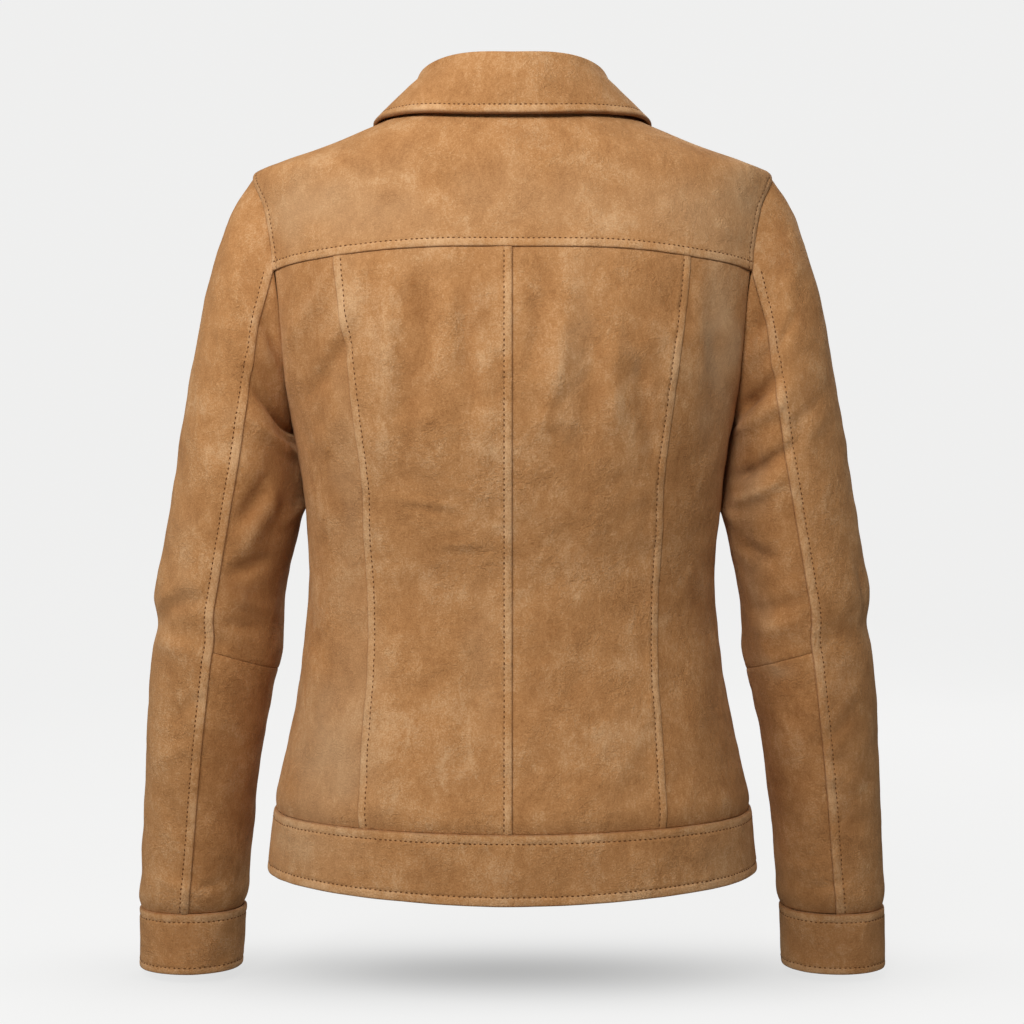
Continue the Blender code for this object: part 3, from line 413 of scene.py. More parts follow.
# Soft patches, paler above zero and darker below it: partly brushed nap, and partly painted light and shade,
# with painted highlights on the yoke and on folds where they face the light and painted shade in troughs and
# in the pockets beside the armholes
NAP_AND_SHADING_COLUMNS = "x height half_width half_height strength"
BODY_NAP_AND_SHADING = table(NAP_AND_SHADING_COLUMNS, [
    (149, -155, 12, 28, -0.26),
    (123, -155, 8, 30, 0.16),
    (99, -170, 8, 35, -0.22),
    (84, -192, 6, 50, 0.16),
    (72, -229, 10, 60, -0.22),
    (33, -163, 9, 40, -0.3),
    (-20, -163, 9, 30, -0.19),
    (-48, -185, 8, 60, 0.24),
    (-66, -214, 9, 60, -0.19),
    (-83, -229, 8, 50, 0.24),
    (-105, -251, 12, 95, -0.26),
    (-154, -185, 12, 60, 0.75),
    (-180, -70, 14, 35, 0.4),
    (-144, -84, 34, 28, 0.3),
    (160, -80, 35, 24, 0.3),
    (110, -85, 80, 34, 0.32),
    (-60, -85, 90, 30, 0.2),
    (53, -74, 16, 30, -0.15),
    (-13, -34, 22, 10, -0.22),
    (143, -229, 7, 40, -0.19),
    (121, -300, 14, 110, 0.24),
    (137, -493, 30, 45, 0.6),
    (105, -450, 20, 80, 0.2),
    (79, -383, 22, 28, -0.15),
    (53, -357, 20, 18, -0.19),
    (83, -475, 16, 10, -0.19),
    (24, -420, 12, 60, 0.16),
    (-57, -339, 18, 16, -0.15),
    (-20, -442, 14, 55, -0.22),
    (-57, -449, 16, 30, -0.22),
    (-75, -478, 10, 30, 0.16),
    (-147, -379, 14, 30, -0.8),
    (-168, -498, 10, 50, -0.38),
    (-101, -383, 16, 40, -0.19),
    (151, -383, 10, 35, -0.38),
    (39, -504, 18, 14, -0.19),
    (61, -570, 14, 20, -0.22),
    (2, -583, 26, 15, -0.26),
    (-58, -572, 16, 18, -0.19),
    (160, -562, 30, 20, 0.4),
    (-150, -568, 20, 18, 0.12),
])
SLEEVE_NAP_AND_SHADING = table(NAP_AND_SHADING_COLUMNS, [
    (186, -215, 9, 30, -0.5),
    (172, -290, 10, 22, -0.6),
    (200, -340, 30, 50, -0.3),
    (-190, -230, 7, 22, -0.2),
    (-178, -262, 7, 10, -0.5),
    (190, -175, 6, 18, -0.4),
    (176, -262, 8, 10, -0.4),
    (198, -317, 14, 14, -0.6),
    (180, -302, 6, 10, -0.9),
    (207, -373, 16, 14, -0.9),
    (184, -349, 8, 20, -0.6),
    (188, -223, 8, 10, 0.3),
    (215, -238, 8, 12, 0.2),
    (255, -349, 10, 35, 0.25),
    (255, -420, 25, 10, -0.25),
    (215, -538, 8, 35, -0.7),
    (235, -594, 25, 12, -0.4),
    (251, -657, 40, 26, -0.55),
    (-196, -191, 10, 20, -0.5),
    (-207, -104, 8, 30, -0.6),
    (-223, -167, 6, 12, -0.6),
    (-184, -286, 10, 35, 0.35),
    (-227, -223, 8, 20, -0.4),
    (-192, -380, 8, 50, 0.3),
    (-219, -380, 8, 35, -0.35),
    (-203, -432, 10, 8, 0.5),
    (-255, -460, 14, 60, -0.45),
    (-227, -507, 8, 50, -0.2),
    (-263, -562, 12, 40, -0.45),
    (-255, -653, 40, 26, -0.6),
])

# Height of the cloth over its smooth form, by distance from a seam or edge
PROFILES = {
    "lap": table("distance height", [
        (0, 0.1), (0.4, 0.6), (1.2, 0.9), (4, 1.0), (7, 0.85), (10, 0.42), (14, 0.1), (19, 0),
    ]),
    "edge": table("distance height", [
        (0, -0.3), (0.5, 0), (1.4, 0.16), (4, 0.2), (7, 0.12), (12, 0), (19, 0),
    ]),
    "under": table("distance height", [(0, -0.25), (1.5, -0.2), (4, -0.1), (9, 0), (19, 0)]),
    "plain": table("distance height", [(0, -0.35), (0.8, -0.1), (2.4, 0.1), (6, 0.05), (12, 0), (19, 0)]),
    "band": table("distance height", [(0, -1.5), (2, -0.8), (6, 0.4), (13, 1.1), (23, 0.6), (42, 0)]),
}

# Rise of the side backs along the armhole, below the yoke, where the sleeve falls behind them
ARMHOLE_RISE = table("distance height", [
    (0, 0.5), (0.6, 1.2), (2, 1.8), (6, 2.6), (13, 3.0), (23, 2.1), (36, 0.7), (50, 0),
])
ARMHOLE_RISE_FADE = 45
ARMHOLE_RISE_PAST_ARMPIT = 12

# Mesh rows beside a seam or edge, by distance from where the piece stops
LAP_LAYERS = (0, 0.4, 0.9, 1.7, 2.9, 4.2, 5.2, 5.9, 6.5, 7.1, 7.9, 9.2, 11, 13)
LAYERS = {
    "lap": LAP_LAYERS,
    "edge": LAP_LAYERS,
    "under": (0, 0.7, 1.6, 2.9, 4.6),
    "plain": (0, 0.6, 1.4, 2.5, 4.2),
    "band": (0, 1.2, 2.8, 4.8),
    "join": (0,),
}

# Along a stitch row: the groove, uneven along its length, and the puckers to both sides
GROOVE_DEPTH = 0.42
GROOVE_HALF_WIDTH = 1.0
GROOVE_UNEVEN = (0.35, 7, 71)
PUCKERS = (0.13, 5, 72)
PUCKER_REACH = 5

# Marks for the colour: the dark line at an edge, partly the darker cut edge and partly painted shade in the
# seam, and the strip between it and its stitches
EDGE_LINE_WIDTH = 0.7
COLLAR_EDGE_LINE_WIDTH = 1.1
PLAIN_SEAM_SHADE = 0.25
STRIP_PAST_STITCHES = 0.6
STRIP_SOFTNESS = 1.2
ARMHOLE_CALM = 7
BAND_CALM = 12


# ---------------------------------------------------------------- small tools

def interpolate(knots, values, at):
    """Smooth curve through a table's rows, with each slope taken from its neighbours."""
    knots = np.asarray(knots, dtype=float)
    values = np.asarray(values, dtype=float)
    at = np.asarray(at, dtype=float)
    slopes = np.gradient(values, knots, axis=0)
    row = np.clip(np.searchsorted(knots, at) - 1, 0, len(knots) - 2)
    step = knots[row + 1] - knots[row]
    part = (at - knots[row]) / step
    if values.ndim > 1:
        step = step[..., None]
        part = part[..., None]
    rest = 1 - part
    start = values[row] * (1 + 2 * part) + slopes[row] * part * step
    end = values[row + 1] * (1 + 2 * rest) - slopes[row + 1] * rest * step
    return start * rest ** 2 + end * part ** 2


def run_length(points):
    """Distance run from point to point of a line."""
    steps = np.linalg.norm(np.diff(points, axis=0), axis=-1)
    return np.concatenate([[0.0], np.cumsum(steps)])


def unit(vectors):
    return vectors / np.maximum(np.linalg.norm(vectors, axis=-1, keepdims=True), TINY)


def mirrored(points):
    return points * np.array([-1, 1, 1])


def waves(points, size, seed, count=14):
    """Smooth uneven field about one unit high, with bumps about size millimetres across."""
    draw = np.random.default_rng(seed)
    total = np.zeros(points.shape[:-1])
    for _ in range(count):
        way = unit(draw.normal(size=3))
        length = size * draw.uniform(1.5, 3.0)
        total += np.sin(points @ way * 2 * math.pi / length + draw.uniform(0, 2 * math.pi))
    return total * math.sqrt(2 / count)


def creases(folds, first, second):
    """Sum of soft ridges and troughs, each along its own bowed line and fading out at both ends."""
    rise = np.zeros(first.shape)
    for row in range(len(folds["rise"])):
        start = np.array([folds["start_first"][row], folds["start_second"][row]])
        along = np.array([folds["end_first"][row], folds["end_second"][row]]) - start
        length = math.hypot(*along)
        part = ((first - start[0]) * along[0] + (second - start[1]) * along[1]) / length ** 2
        across = ((first - start[0]) * along[1] - (second - start[1]) * along[0]) / length
        across = across - folds["bow"][row] * 4 * part * (1 - part)
        fade = np.exp(-np.abs((part - 0.5) / CREASE_REACH) ** CREASE_FADE_POWER)
        rise += folds["rise"][row] * np.exp(-(across / folds["half_width"][row]) ** 2) * fade
    return rise


# ---------------------------------------------------------------- body surface

TORSO_LEVEL = run_length(np.stack([TORSO["half_width"], TORSO["height"]], axis=-1))
LEVEL_STEP_COUNT = 3000
LEVEL_STEPS = np.linspace(0, TORSO_LEVEL[-1], LEVEL_STEP_COUNT)
HEIGHT_STEPS = interpolate(TORSO_LEVEL, TORSO["height"], LEVEL_STEPS)


def level_at(height):
    """Distance down the side line of the body at a height."""
    return np.interp(-np.asarray(height, dtype=float), -HEIGHT_STEPS, LEVEL_STEPS)


def torso_ring(level):
    return {name: interpolate(TORSO_LEVEL, TORSO[name], level) for name in TORSO}


def body_point(angle, level):
    """Point of the smooth body at an angle round it and a level down its side line."""
    ring = torso_ring(level)
    turn = np.radians(angle)
    depth = np.where(np.sin(turn) >= 0, ring["back_depth"], ring["front_depth"])
    across = np.abs(np.cos(turn)) / ring["half_width"]
    through = np.abs(np.sin(turn)) / depth
    radius = (across ** ring["squareness"] + through ** ring["squareness"]) ** (-1 / ring["squareness"])
    return np.stack([radius * np.cos(turn), radius * np.sin(turn), ring["height"] + 0 * turn], axis=-1)


def normal_of(surface, turn, run):
    """Outward normal of a surface from points half a degree and a millimetre to each side."""
    round_way = surface(turn + HALF_DEGREE, run) - surface(turn - HALF_DEGREE, run)
    down_way = surface(turn, run + 1) - surface(turn, run - 1)
    return unit(np.cross(down_way, round_way))


def body_normal(angle, level):
    return normal_of(body_point, angle, level)


def map_point(x, height, back):
    """Angle and level of a point given by its distance from the centre and its height."""
    level = level_at(height)
    ring = torso_ring(level)
    depth = ring["back_depth"] if back else -ring["front_depth"]
    reach = np.clip(1 - (np.abs(x) / ring["half_width"]) ** ring["squareness"], 0, 1)
    y = depth * reach ** (1 / ring["squareness"])
    return np.stack([np.degrees(np.arctan2(y, x)), level + 0 * y], axis=-1)


ARMHOLE_MIDDLE = (SHOULDER_TIP_HEIGHT + ARMPIT_HEIGHT) / 2
ARMHOLE_HALF_HEIGHT = (SHOULDER_TIP_HEIGHT - ARMPIT_HEIGHT) / 2
YOKE_CORNER_TURN = math.degrees(math.acos((YOKE_CORNER_HEIGHT - ARMHOLE_MIDDLE) / ARMHOLE_HALF_HEIGHT))


def armhole_map(turn):
    """Map point of the armhole: turn 0 is the shoulder tip, 90 the back and 180 the armpit."""
    sweep = np.radians(turn)
    reach = np.where(np.sin(sweep) >= 0, ARMHOLE_REACH_BACK, ARMHOLE_REACH_FRONT)
    angle = reach * np.sin(sweep)
    level = level_at(ARMHOLE_MIDDLE + ARMHOLE_HALF_HEIGHT * np.cos(sweep))
    return np.stack([angle, level], axis=-1)


def armhole_point(turn):
    place = armhole_map(turn)
    return body_point(place[..., 0], place[..., 1])


# ---------------------------------------------------------------- sleeve surface

SLEEVE_CENTRE_X = (SLEEVE["outer_x"] + SLEEVE["inner_x"]) / 2
SLEEVE_CENTRE_HEIGHT = (SLEEVE["outer_height"] + SLEEVE["inner_height"]) / 2
ARMHOLE_CENTRE = (armhole_point(0.0) + armhole_point(180.0)) / 2
SLEEVE_RUN = run_length(np.stack([
    np.concatenate([[ARMHOLE_CENTRE[0]], SLEEVE_CENTRE_X]),
    np.concatenate([[ARMHOLE_CENTRE[2]], SLEEVE_CENTRE_HEIGHT]),
], axis=-1))
CUFF_TOP_RUN = SLEEVE_RUN[-2]
CUFF_BOTTOM_RUN = SLEEVE_RUN[-1]
MM_PER_SLEEVE_DEGREE = 0.9


def sleeve_ring_point(row, turn):
    """Point of one slanting ring of the left sleeve."""
    sweep = np.radians(turn)
    power = 2 / SLEEVE["squareness"][row]
    across = np.sign(np.cos(sweep)) * np.abs(np.cos(sweep)) ** power
    through = np.sign(np.sin(sweep)) * np.abs(np.sin(sweep)) ** power
    half_x = (SLEEVE["outer_x"][row] - SLEEVE["inner_x"][row]) / 2
    half_height = (SLEEVE["outer_height"][row] - SLEEVE["inner_height"][row]) / 2
    return np.stack([
        SLEEVE_CENTRE_X[row] + half_x * across,
        SLEEVE["centre_y"][row] + SLEEVE["half_depth"][row] * through,
        SLEEVE_CENTRE_HEIGHT[row] + half_height * across,
    ], axis=-1)


def sleeve_point(turn, run):
    """Point of the smooth left sleeve: turn round its ring, run down its centre line."""
    turn, run = np.broadcast_arrays(np.asarray(turn, dtype=float), np.asarray(run, dtype=float))
    first = armhole_point(turn) + np.array([SLEEVE_STAND_OFF, 0, 0])
    rings = np.stack([first] + [sleeve_ring_point(row, turn) for row in range(len(SLEEVE["outer_x"]))])
    slopes = np.gradient(rings, SLEEVE_RUN, axis=0)
    row = np.clip(np.searchsorted(SLEEVE_RUN, run) - 1, 0, len(SLEEVE_RUN) - 2)
    step = (SLEEVE_RUN[row + 1] - SLEEVE_RUN[row])[..., None]
    part = (run - SLEEVE_RUN[row])[..., None] / step
    rest = 1 - part

    def pick(values, index):
        return np.take_along_axis(values, index[None, ..., None], axis=0)[0]

    start = pick(rings, row) * (1 + 2 * part) + pick(slopes, row) * part * step
    end = pick(rings, row + 1) * (1 + 2 * rest) - pick(slopes, row + 1) * rest * step
    return start * rest ** 2 + end * part ** 2


def sleeve_normal(turn, run):
    return normal_of(sleeve_point, turn, np.maximum(run, 1.0))


def right_sleeve_point(turn, run):
    return mirrored(sleeve_point(turn, run))


def right_sleeve_normal(turn, run):
    return mirrored(sleeve_normal(turn, run))


# ---------------------------------------------------------------- relief of the cloth

# Depth over which the folds of the back pass into those of the front
FOLD_BLEND_DEPTH = 60

# Below the neck the unevenness grows from a small share to its whole height
CALM_TOP = 20
CALM_LENGTH = 130
CALM_SHARE = 0.35

# Soft unevenness: height and size of each layer of bumps, and its seed
BODY_UNEVEN = ((0.42, 34, 11), (0.16, 13, 12), (0.05, 5, 13))
SLEEVE_UNEVEN = ((0.4, 28, 0), (0.18, 12, 1), (0.05, 5, 2))
BAND_UNEVEN = ((0.3, 26, 31), (0.12, 9, 32))
COLLAR_UNEVEN = ((0.34, 30, 61), (0.13, 11, 62))
LEFT_SLEEVE_SEED = 41
RIGHT_SLEEVE_SEED = 51

# How far the outlines of the patches of nap and painted light and shade wander, and the patches' share on
# the hidden front
NAP_AND_SHADING_WANDER = 4
NAP_AND_SHADING_WANDER_SIZE = 16
NAP_AND_SHADING_WANDER_SEEDS = (81, 82)
HIDDEN_NAP_AND_SHADING_SHARE = 0.6


def unevenness(points, layers, seed=0):
    """Sum of the layers of bumps."""
    return sum(height * waves(points, size, number + seed) for height, size, number in layers)


def back_share_at(points):
    """One on the back, zero on the front, and in between at the sides."""
    return np.clip(0.5 + points[..., 1] / FOLD_BLEND_DEPTH, 0, 1)


def body_relief(first, second, points):
    """Height of the folds and of the soft unevenness over the body."""
    back_share = back_share_at(points)
    back = creases(BACK_CREASES, points[..., 0], points[..., 2])
    front = creases(FRONT_CREASES, points[..., 0], points[..., 2])
    calm = np.clip((-points[..., 2] - CALM_TOP) / CALM_LENGTH, CALM_SHARE, 1)
    return back * back_share + front * (1 - back_share) + unevenness(points, BODY_UNEVEN) * calm


def sleeve_relief(own_creases, seed):
    """Relief of one sleeve, from its own creases and those of its hidden front."""
    scale = {name: MM_PER_SLEEVE_DEGREE if name.endswith("first") else 1.0 for name in own_creases}
    own = {name: own_creases[name] * scale[name] for name in own_creases}
    hidden = {name: SLEEVE_FRONT_CREASES[name] * scale[name] for name in own_creases}

    def relief(first, second, points):
        across = np.mod(first, 360) * MM_PER_SLEEVE_DEGREE
        folds = creases(own, across, second) + creases(hidden, across, second)
        return folds + unevenness(points, SLEEVE_UNEVEN, seed)

    return relief


def band_relief(first, second, points):
    return unevenness(points, BAND_UNEVEN)


def brushed_and_shaded(rows, turn):
    """Function that gives the patches of brushed nap and painted light and shade, weaker on the front, where
    x is times turn.
    """
    def patches(x, height):
        total = np.zeros(x.shape)
        for row in range(len(rows["x"])):
            across = (x - rows["x"][row]) / rows["half_width"][row]
            down = (height - rows["height"][row]) / rows["half_height"][row]
            total += rows["strength"][row] * np.exp(-across ** 2 - down ** 2)
        return total

    def nap(points):
        back_share = back_share_at(points)
        wander = [NAP_AND_SHADING_WANDER * waves(points, NAP_AND_SHADING_WANDER_SIZE, seed) for seed in NAP_AND_SHADING_WANDER_SEEDS]
        x = points[..., 0] + wander[0]
        height = points[..., 2] + wander[1]
        front = (1 - back_share) * HIDDEN_NAP_AND_SHADING_SHARE * patches(turn * x, height)
        return back_share * patches(x, height) + front

    return nap


body_nap_and_shading = brushed_and_shaded(BODY_NAP_AND_SHADING, -1)
sleeve_nap_and_shading = brushed_and_shaded(SLEEVE_NAP_AND_SHADING, 1)
BODY = (body_point, body_normal, body_relief, body_nap_and_shading)
BAND = (body_point, body_normal, band_relief, body_nap_and_shading)
LEFT_SLEEVE = (
    sleeve_point,
    sleeve_normal,
    sleeve_relief(LEFT_SLEEVE_CREASES, LEFT_SLEEVE_SEED),
    sleeve_nap_and_shading,
)
RIGHT_SLEEVE = (
    right_sleeve_point,
    right_sleeve_normal,
    sleeve_relief(RIGHT_SLEEVE_CREASES, RIGHT_SLEEVE_SEED),
    sleeve_nap_and_shading,
)


# ---------------------------------------------------------------- lines on the map

# Points of a map line, and of each side of the rough grid on which a patch is measured
LINE_POINTS = 500
PATCH_PROBES = 33


def smooth_line(points):
    """Many map points along a smooth line of the body through a few of them."""
    points = np.asarray(points, dtype=float)
    knots = run_length(body_point(points[:, 0], points[:, 1]))
    return interpolate(knots, points, np.linspace(0, knots[-1], LINE_POINTS))


def straight_line(start, end):
    """Map points between two ends, where the first may be an angle or a turn."""
    return np.linspace(np.asarray(start, dtype=float), np.asarray(end, dtype=float), LINE_POINTS)


def joined(*lines):
    """One line from several that follow on from each other."""
    return np.concatenate([lines[0]] + [line[1:] for line in lines[1:]])


def opposite(line):
    """The same line or grid on the other side of the body."""
    return line * np.array([-1, 1]) + np.array([180, 0])


def line_length(line, surface):
    return run_length(surface(line[:, 0], line[:, 1]))[-1]


def along(line, shares, surface):
    """Map points at shares of the length of a line."""
    run = run_length(surface(line[:, 0], line[:, 1]))
    wanted = shares * run[-1]
    return np.stack([np.interp(wanted, run, line[:, 0]), np.interp(wanted, run, line[:, 1])], axis=-1)


def seam_pull(kind):
    return 0 if kind == "join" else SEAM_PULL


def spread_counts(length, step, start_kind, end_kind, breaks=()):
    """Number of steps in each stretch of a typical length between its seams and breaks."""
    start = seam_pull(start_kind) + LAYERS[start_kind][-1]
    end = length - seam_pull(end_kind) - LAYERS[end_kind][-1]
    stops = [start, *[share * length for share in breaks], end]
    return [max(1, round((high - low) / step)) for low, high in zip(stops[:-1], stops[1:])]


def spread(lengths, counts, start_kind, end_kind, breaks=()):
    """Shares of each length: close together beside its seams, and evenly in each stretch between them."""
    lengths = np.atleast_1d(np.asarray(lengths, dtype=float))[:, None]
    start = seam_pull(start_kind) + np.array(LAYERS[start_kind], dtype=float) + 0 * lengths
    end = lengths - seam_pull(end_kind) - np.array(LAYERS[end_kind], dtype=float)[::-1]
    stops = [start[:, -1:], *[share * lengths for share in breaks], end[:, :1]]
    places = [start[:, :-1]]
    for low, high, count in zip(stops[:-1], stops[1:], counts):
        places.append(low + (high - low) * np.arange(count) / count)
    places.append(end)
    return np.concatenate(places, axis=1) / lengths


def coons(lines, across, down, surface):
    """Map points inside four lines: top, bottom, first and last, at shares across and down."""
    top, bottom, first, last = lines
    u = across[..., None]
    v = down[..., None]
    between_rows = (1 - v) * along(top, across, surface) + v * along(bottom, across, surface)
    between_columns = (1 - u) * along(first, down, surface) + u * along(last, down, surface)
    corners = (1 - v) * ((1 - u) * top[0] + u * top[-1]) + v * ((1 - u) * bottom[0] + u * bottom[-1])
    return between_rows + between_columns - corners


def patch(surface, lines, kinds, step, breaks=()):
    """Grid of map points that fills four lines, with close rows and columns beside the seams."""
    coarse = np.linspace(0, 1, PATCH_PROBES)
    rough = coons(lines, *np.meshgrid(coarse, coarse), surface)
    points = surface(rough[..., 0], rough[..., 1])
    row_lengths = np.sum(np.linalg.norm(np.diff(points, axis=1), axis=-1), axis=1)
    column_lengths = np.sum(np.linalg.norm(np.diff(points, axis=0), axis=-1), axis=0)
    counts = spread_counts(np.mean(column_lengths), step, kinds[0], kinds[1], breaks)
    down = spread(np.mean(column_lengths), counts, kinds[0], kinds[1], breaks)[0]
    counts_across = spread_counts(np.mean(row_lengths), step, kinds[2], kinds[3])
    across = spread(np.interp(down, coarse, row_lengths), counts_across, kinds[2], kinds[3])
    middle = np.mean(across, axis=0)
    down = spread(np.interp(middle, coarse, column_lengths), counts, kinds[0], kinds[1], breaks).T
    return coons(lines, across, down, surface)


# ---------------------------------------------------------------- seams

# Points whose distances are worked out at a time
DISTANCE_BATCH = 4000


def distance_to(points, line):
    """Distance of each point from a line of close points."""
    flat = points.reshape(-1, 3)
    found = np.empty(len(flat))
    ways = np.diff(line, axis=0)
    squares = np.maximum(np.sum(ways ** 2, axis=-1), TINY ** 2)
    middles = (line[:-1] + line[1:]) / 2
    middle_squares = np.sum(middles ** 2, axis=1)
    for low in range(0, len(flat), DISTANCE_BATCH):
        some = flat[low:low + DISTANCE_BATCH]
        near = np.argmin(middle_squares - 2 * some @ middles.T, axis=1)
        best = np.full(len(some), np.inf)
        for shift in (-1, 0, 1):
            index = np.clip(near + shift, 0, len(ways) - 1)
            offset = some - line[index]
            part = np.clip(np.sum(offset * ways[index], axis=-1) / squares[index], 0, 1)
            best = np.minimum(best, np.linalg.norm(offset - part[:, None] * ways[index], axis=-1))
        found[low:low + DISTANCE_BATCH] = best
    return found.reshape(points.shape[:-1])


def seam(line, kind, stitch=0.0, fade=0.0):
    """A seam or edge of a piece: its map line and how the cloth lies there.

    stitch is how far from it its stitches lie, and fade how far it keeps the folds away.
    """
    return {"line": line, "kind": kind, "stitch": stitch, "fade": fade}


def groove_at(gap, stitch):
    return np.exp(-((gap - stitch) / GROOVE_HALF_WIDTH) ** 2)


def strip_at(gap, stitch):
    return np.clip((stitch + STRIP_PAST_STITCHES - gap) / STRIP_SOFTNESS, 0, 1)


def seam_effect(points, seams, surface):
    """What the seams do: height of the cloth, share of its folds that is left, marks for its colour."""
    height = np.zeros(points.shape[:-1])
    calm = np.ones(points.shape[:-1])
    close = np.zeros(points.shape[:-1])
    strip = np.zeros(points.shape[:-1])
    for one in seams:
        gap = distance_to(points, surface(one["line"][:, 0], one["line"][:, 1]))
        profile = PROFILES[one["kind"]]
        reach = profile["distance"][-1]
        height += interpolate(profile["distance"], profile["height"], np.minimum(gap, reach))
        # Dark line at the edge: partly the darker cut edge, partly painted shade in the seam
        share = 1.0 if one["kind"] in ("lap", "edge") else PLAIN_SEAM_SHADE
        close = np.maximum(close, share * np.exp(-(gap / EDGE_LINE_WIDTH) ** 2))
        if one["stitch"]:
            depth = GROOVE_DEPTH * groove_at(gap, one["stitch"])
            height -= depth * (1 + unevenness(points, [GROOVE_UNEVEN]))
            beside = np.exp(-((gap - one["stitch"]) / PUCKER_REACH) ** 2)
            height += unevenness(points, [PUCKERS]) * beside
            strip = np.maximum(strip, strip_at(gap, one["stitch"]))
        if one["fade"]:
            calm = calm * (1 - np.exp(-(gap / one["fade"]) ** 2))
    return height, calm, {"seam": close, "strip": strip}


# ---------------------------------------------------------------- meshes

def mesh_object(name, points, quads, materials, slots=None, values=None):
    """Object from arrays of points in millimetres and quads."""
    mesh = bpy.data.meshes.new(name)
    mesh.vertices.add(len(points))
    mesh.vertices.foreach_set("co", (points * MM).astype(np.float32).ravel())
    mesh.loops.add(quads.size)
    mesh.loops.foreach_set("vertex_index", quads.astype(np.int32).ravel())
    mesh.polygons.add(len(quads))
    mesh.polygons.foreach_set("loop_start", (np.arange(len(quads)) * 4).astype(np.int32))
    for material in materials:
        mesh.materials.append(material)
    if slots is not None:
        mesh.polygons.foreach_set("material_index", slots.astype(np.int32))
    mesh.update(calc_edges=True)
    mesh.shade_smooth()
    for label, numbers in (values or {}).items():
        attribute = mesh.attributes.new(label, "FLOAT", "POINT")
        attribute.data.foreach_set("value", numbers.astype(np.float32).ravel())
    item = bpy.data.objects.new(name, mesh)
    bpy.context.scene.collection.objects.link(item)
    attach(item, "root")
    return item


def grid_quads(rows, columns, closed):
    """Corner numbers of the quads of a grid."""
    index = np.arange(rows * columns).reshape(rows, columns)
    right = np.roll(index, -1, axis=1)
    if not closed:
        index, right = index[:, :-1], right[:, :-1]
    return np.stack([index[:-1], index[1:], right[1:], right[:-1]], axis=-1).reshape(-1, 4)


def border_loops(rows, columns, closed):
    """Point numbers round the border of a grid: one loop, or two for a ring of columns."""
    index = np.arange(rows * columns).reshape(rows, columns)
    if closed:
        return [index[0], index[-1][::-1]]
    return [np.concatenate([index[0, :-1], index[:-1, -1], index[-1, :0:-1], index[:0:-1, 0]])]


def shell(name, outer, normals, thickness, materials, values, closed=False):
    """Thin closed wall behind a grid of outer points, with rounded rims and its own inner material."""
    rows, columns = outer.shape[:2]
    count = rows * columns
    flat = outer.reshape(-1, 3)
    flat_normals = normals.reshape(-1, 3)
    flat_values = {label: array.ravel() for label, array in values.items()}
    index = np.arange(count).reshape(rows, columns)
    inside = np.arange(count)
    inside[index[0]] = index[1]
    inside[index[-1]] = index[-2]
    if not closed:
        inside[index[:, 0]] = index[np.clip(np.arange(rows), 1, rows - 2), 1]
        inside[index[:, -1]] = index[np.clip(np.arange(rows), 1, rows - 2), -2]
    quads = grid_quads(rows, columns, closed)
    points = [flat, flat - thickness * flat_normals]
    faces = [quads, quads[:, ::-1] + count]
    slots = [np.zeros(len(quads)), np.ones(len(quads))]
    numbers = {label: [array, array] for label, array in flat_values.items()}
    total = 2 * count
    for loop in border_loops(rows, columns, closed):
        away = unit(flat[loop] - flat[inside[loop]])
        rings = [loop]
        for lean in RIM_LEANS:
            depth = thickness / 2 * (1 - math.sin(lean))
            reach = RIM_BULGE * thickness / 2 * math.cos(lean)
            points.append(flat[loop] - depth * flat_normals[loop] + reach * away)
            for label in numbers:
                numbers[label].append(flat_values[label][loop])
            rings.append(total + np.arange(len(loop)))
            total += len(loop)
        rings.append(loop + count)
        for upper, lower in zip(rings[:-1], rings[1:]):
            faces.append(np.stack([upper, np.roll(upper, -1), np.roll(lower, -1), lower], axis=-1))
            slots.append(np.zeros(len(loop)))
    faces = np.concatenate(faces)
    turned = np.cross(outer[1:, :-1] - outer[:-1, :-1], outer[:-1, 1:] - outer[:-1, :-1])
    if np.sum(turned * normals[:-1, :-1]) < 0:
        faces = faces[:, ::-1]
    numbers = {label: np.concatenate(parts) for label, parts in numbers.items()}
    return mesh_object(name, np.concatenate(points), faces, materials, np.concatenate(slots), numbers)


def cloth_surface(shape, seams, lift):
    """Function that gives the outer points of a piece at map points, with its normals and colour marks."""
    bare_of, normal_of_shape, relief_of, nap_and_shading_of = shape

    def surface(first, second):
        bare = bare_of(first, second)
        normal = normal_of_shape(first, second)
        relief = relief_of(first, second, bare)
        height, calm, marks = seam_effect(bare, seams, bare_of)
        raised = relief * calm + height + lift(first, bare)
        marks["crease"] = relief * calm
        marks["nap"] = nap_and_shading_of(bare)
        return bare + raised[..., None] * normal, normal, marks

    return surface


# ---------------------------------------------------------------- stitches

def offset_line(line, distance, shape):
    """Map line at a distance to the left of another, seen from outside by someone going along it."""
    bare_of, normal_of_shape = shape[0], shape[1]
    first, second = line[:, 0], line[:, 1]
    above = np.maximum(second - HALF_MM, 0.0)
    below = second + HALF_MM
    points = bare_of(first, second)
    round_way = bare_of(first + HALF_DEGREE, second) - bare_of(first - HALF_DEGREE, second)
    down_way = (bare_of(first, below) - bare_of(first, above)) / (below - above)[:, None]
    side = distance * unit(np.cross(normal_of_shape(first, second), np.gradient(points, axis=0)))
    a = np.sum(round_way * round_way, axis=-1)
    b = np.sum(round_way * down_way, axis=-1)
    c = np.sum(down_way * down_way, axis=-1)
    p = np.sum(side * round_way, axis=-1)
    q = np.sum(side * down_way, axis=-1)
    scale = a * c - b * b
    return np.stack([first + (p * c - q * b) / scale, second + (q * a - p * b) / scale], axis=-1)


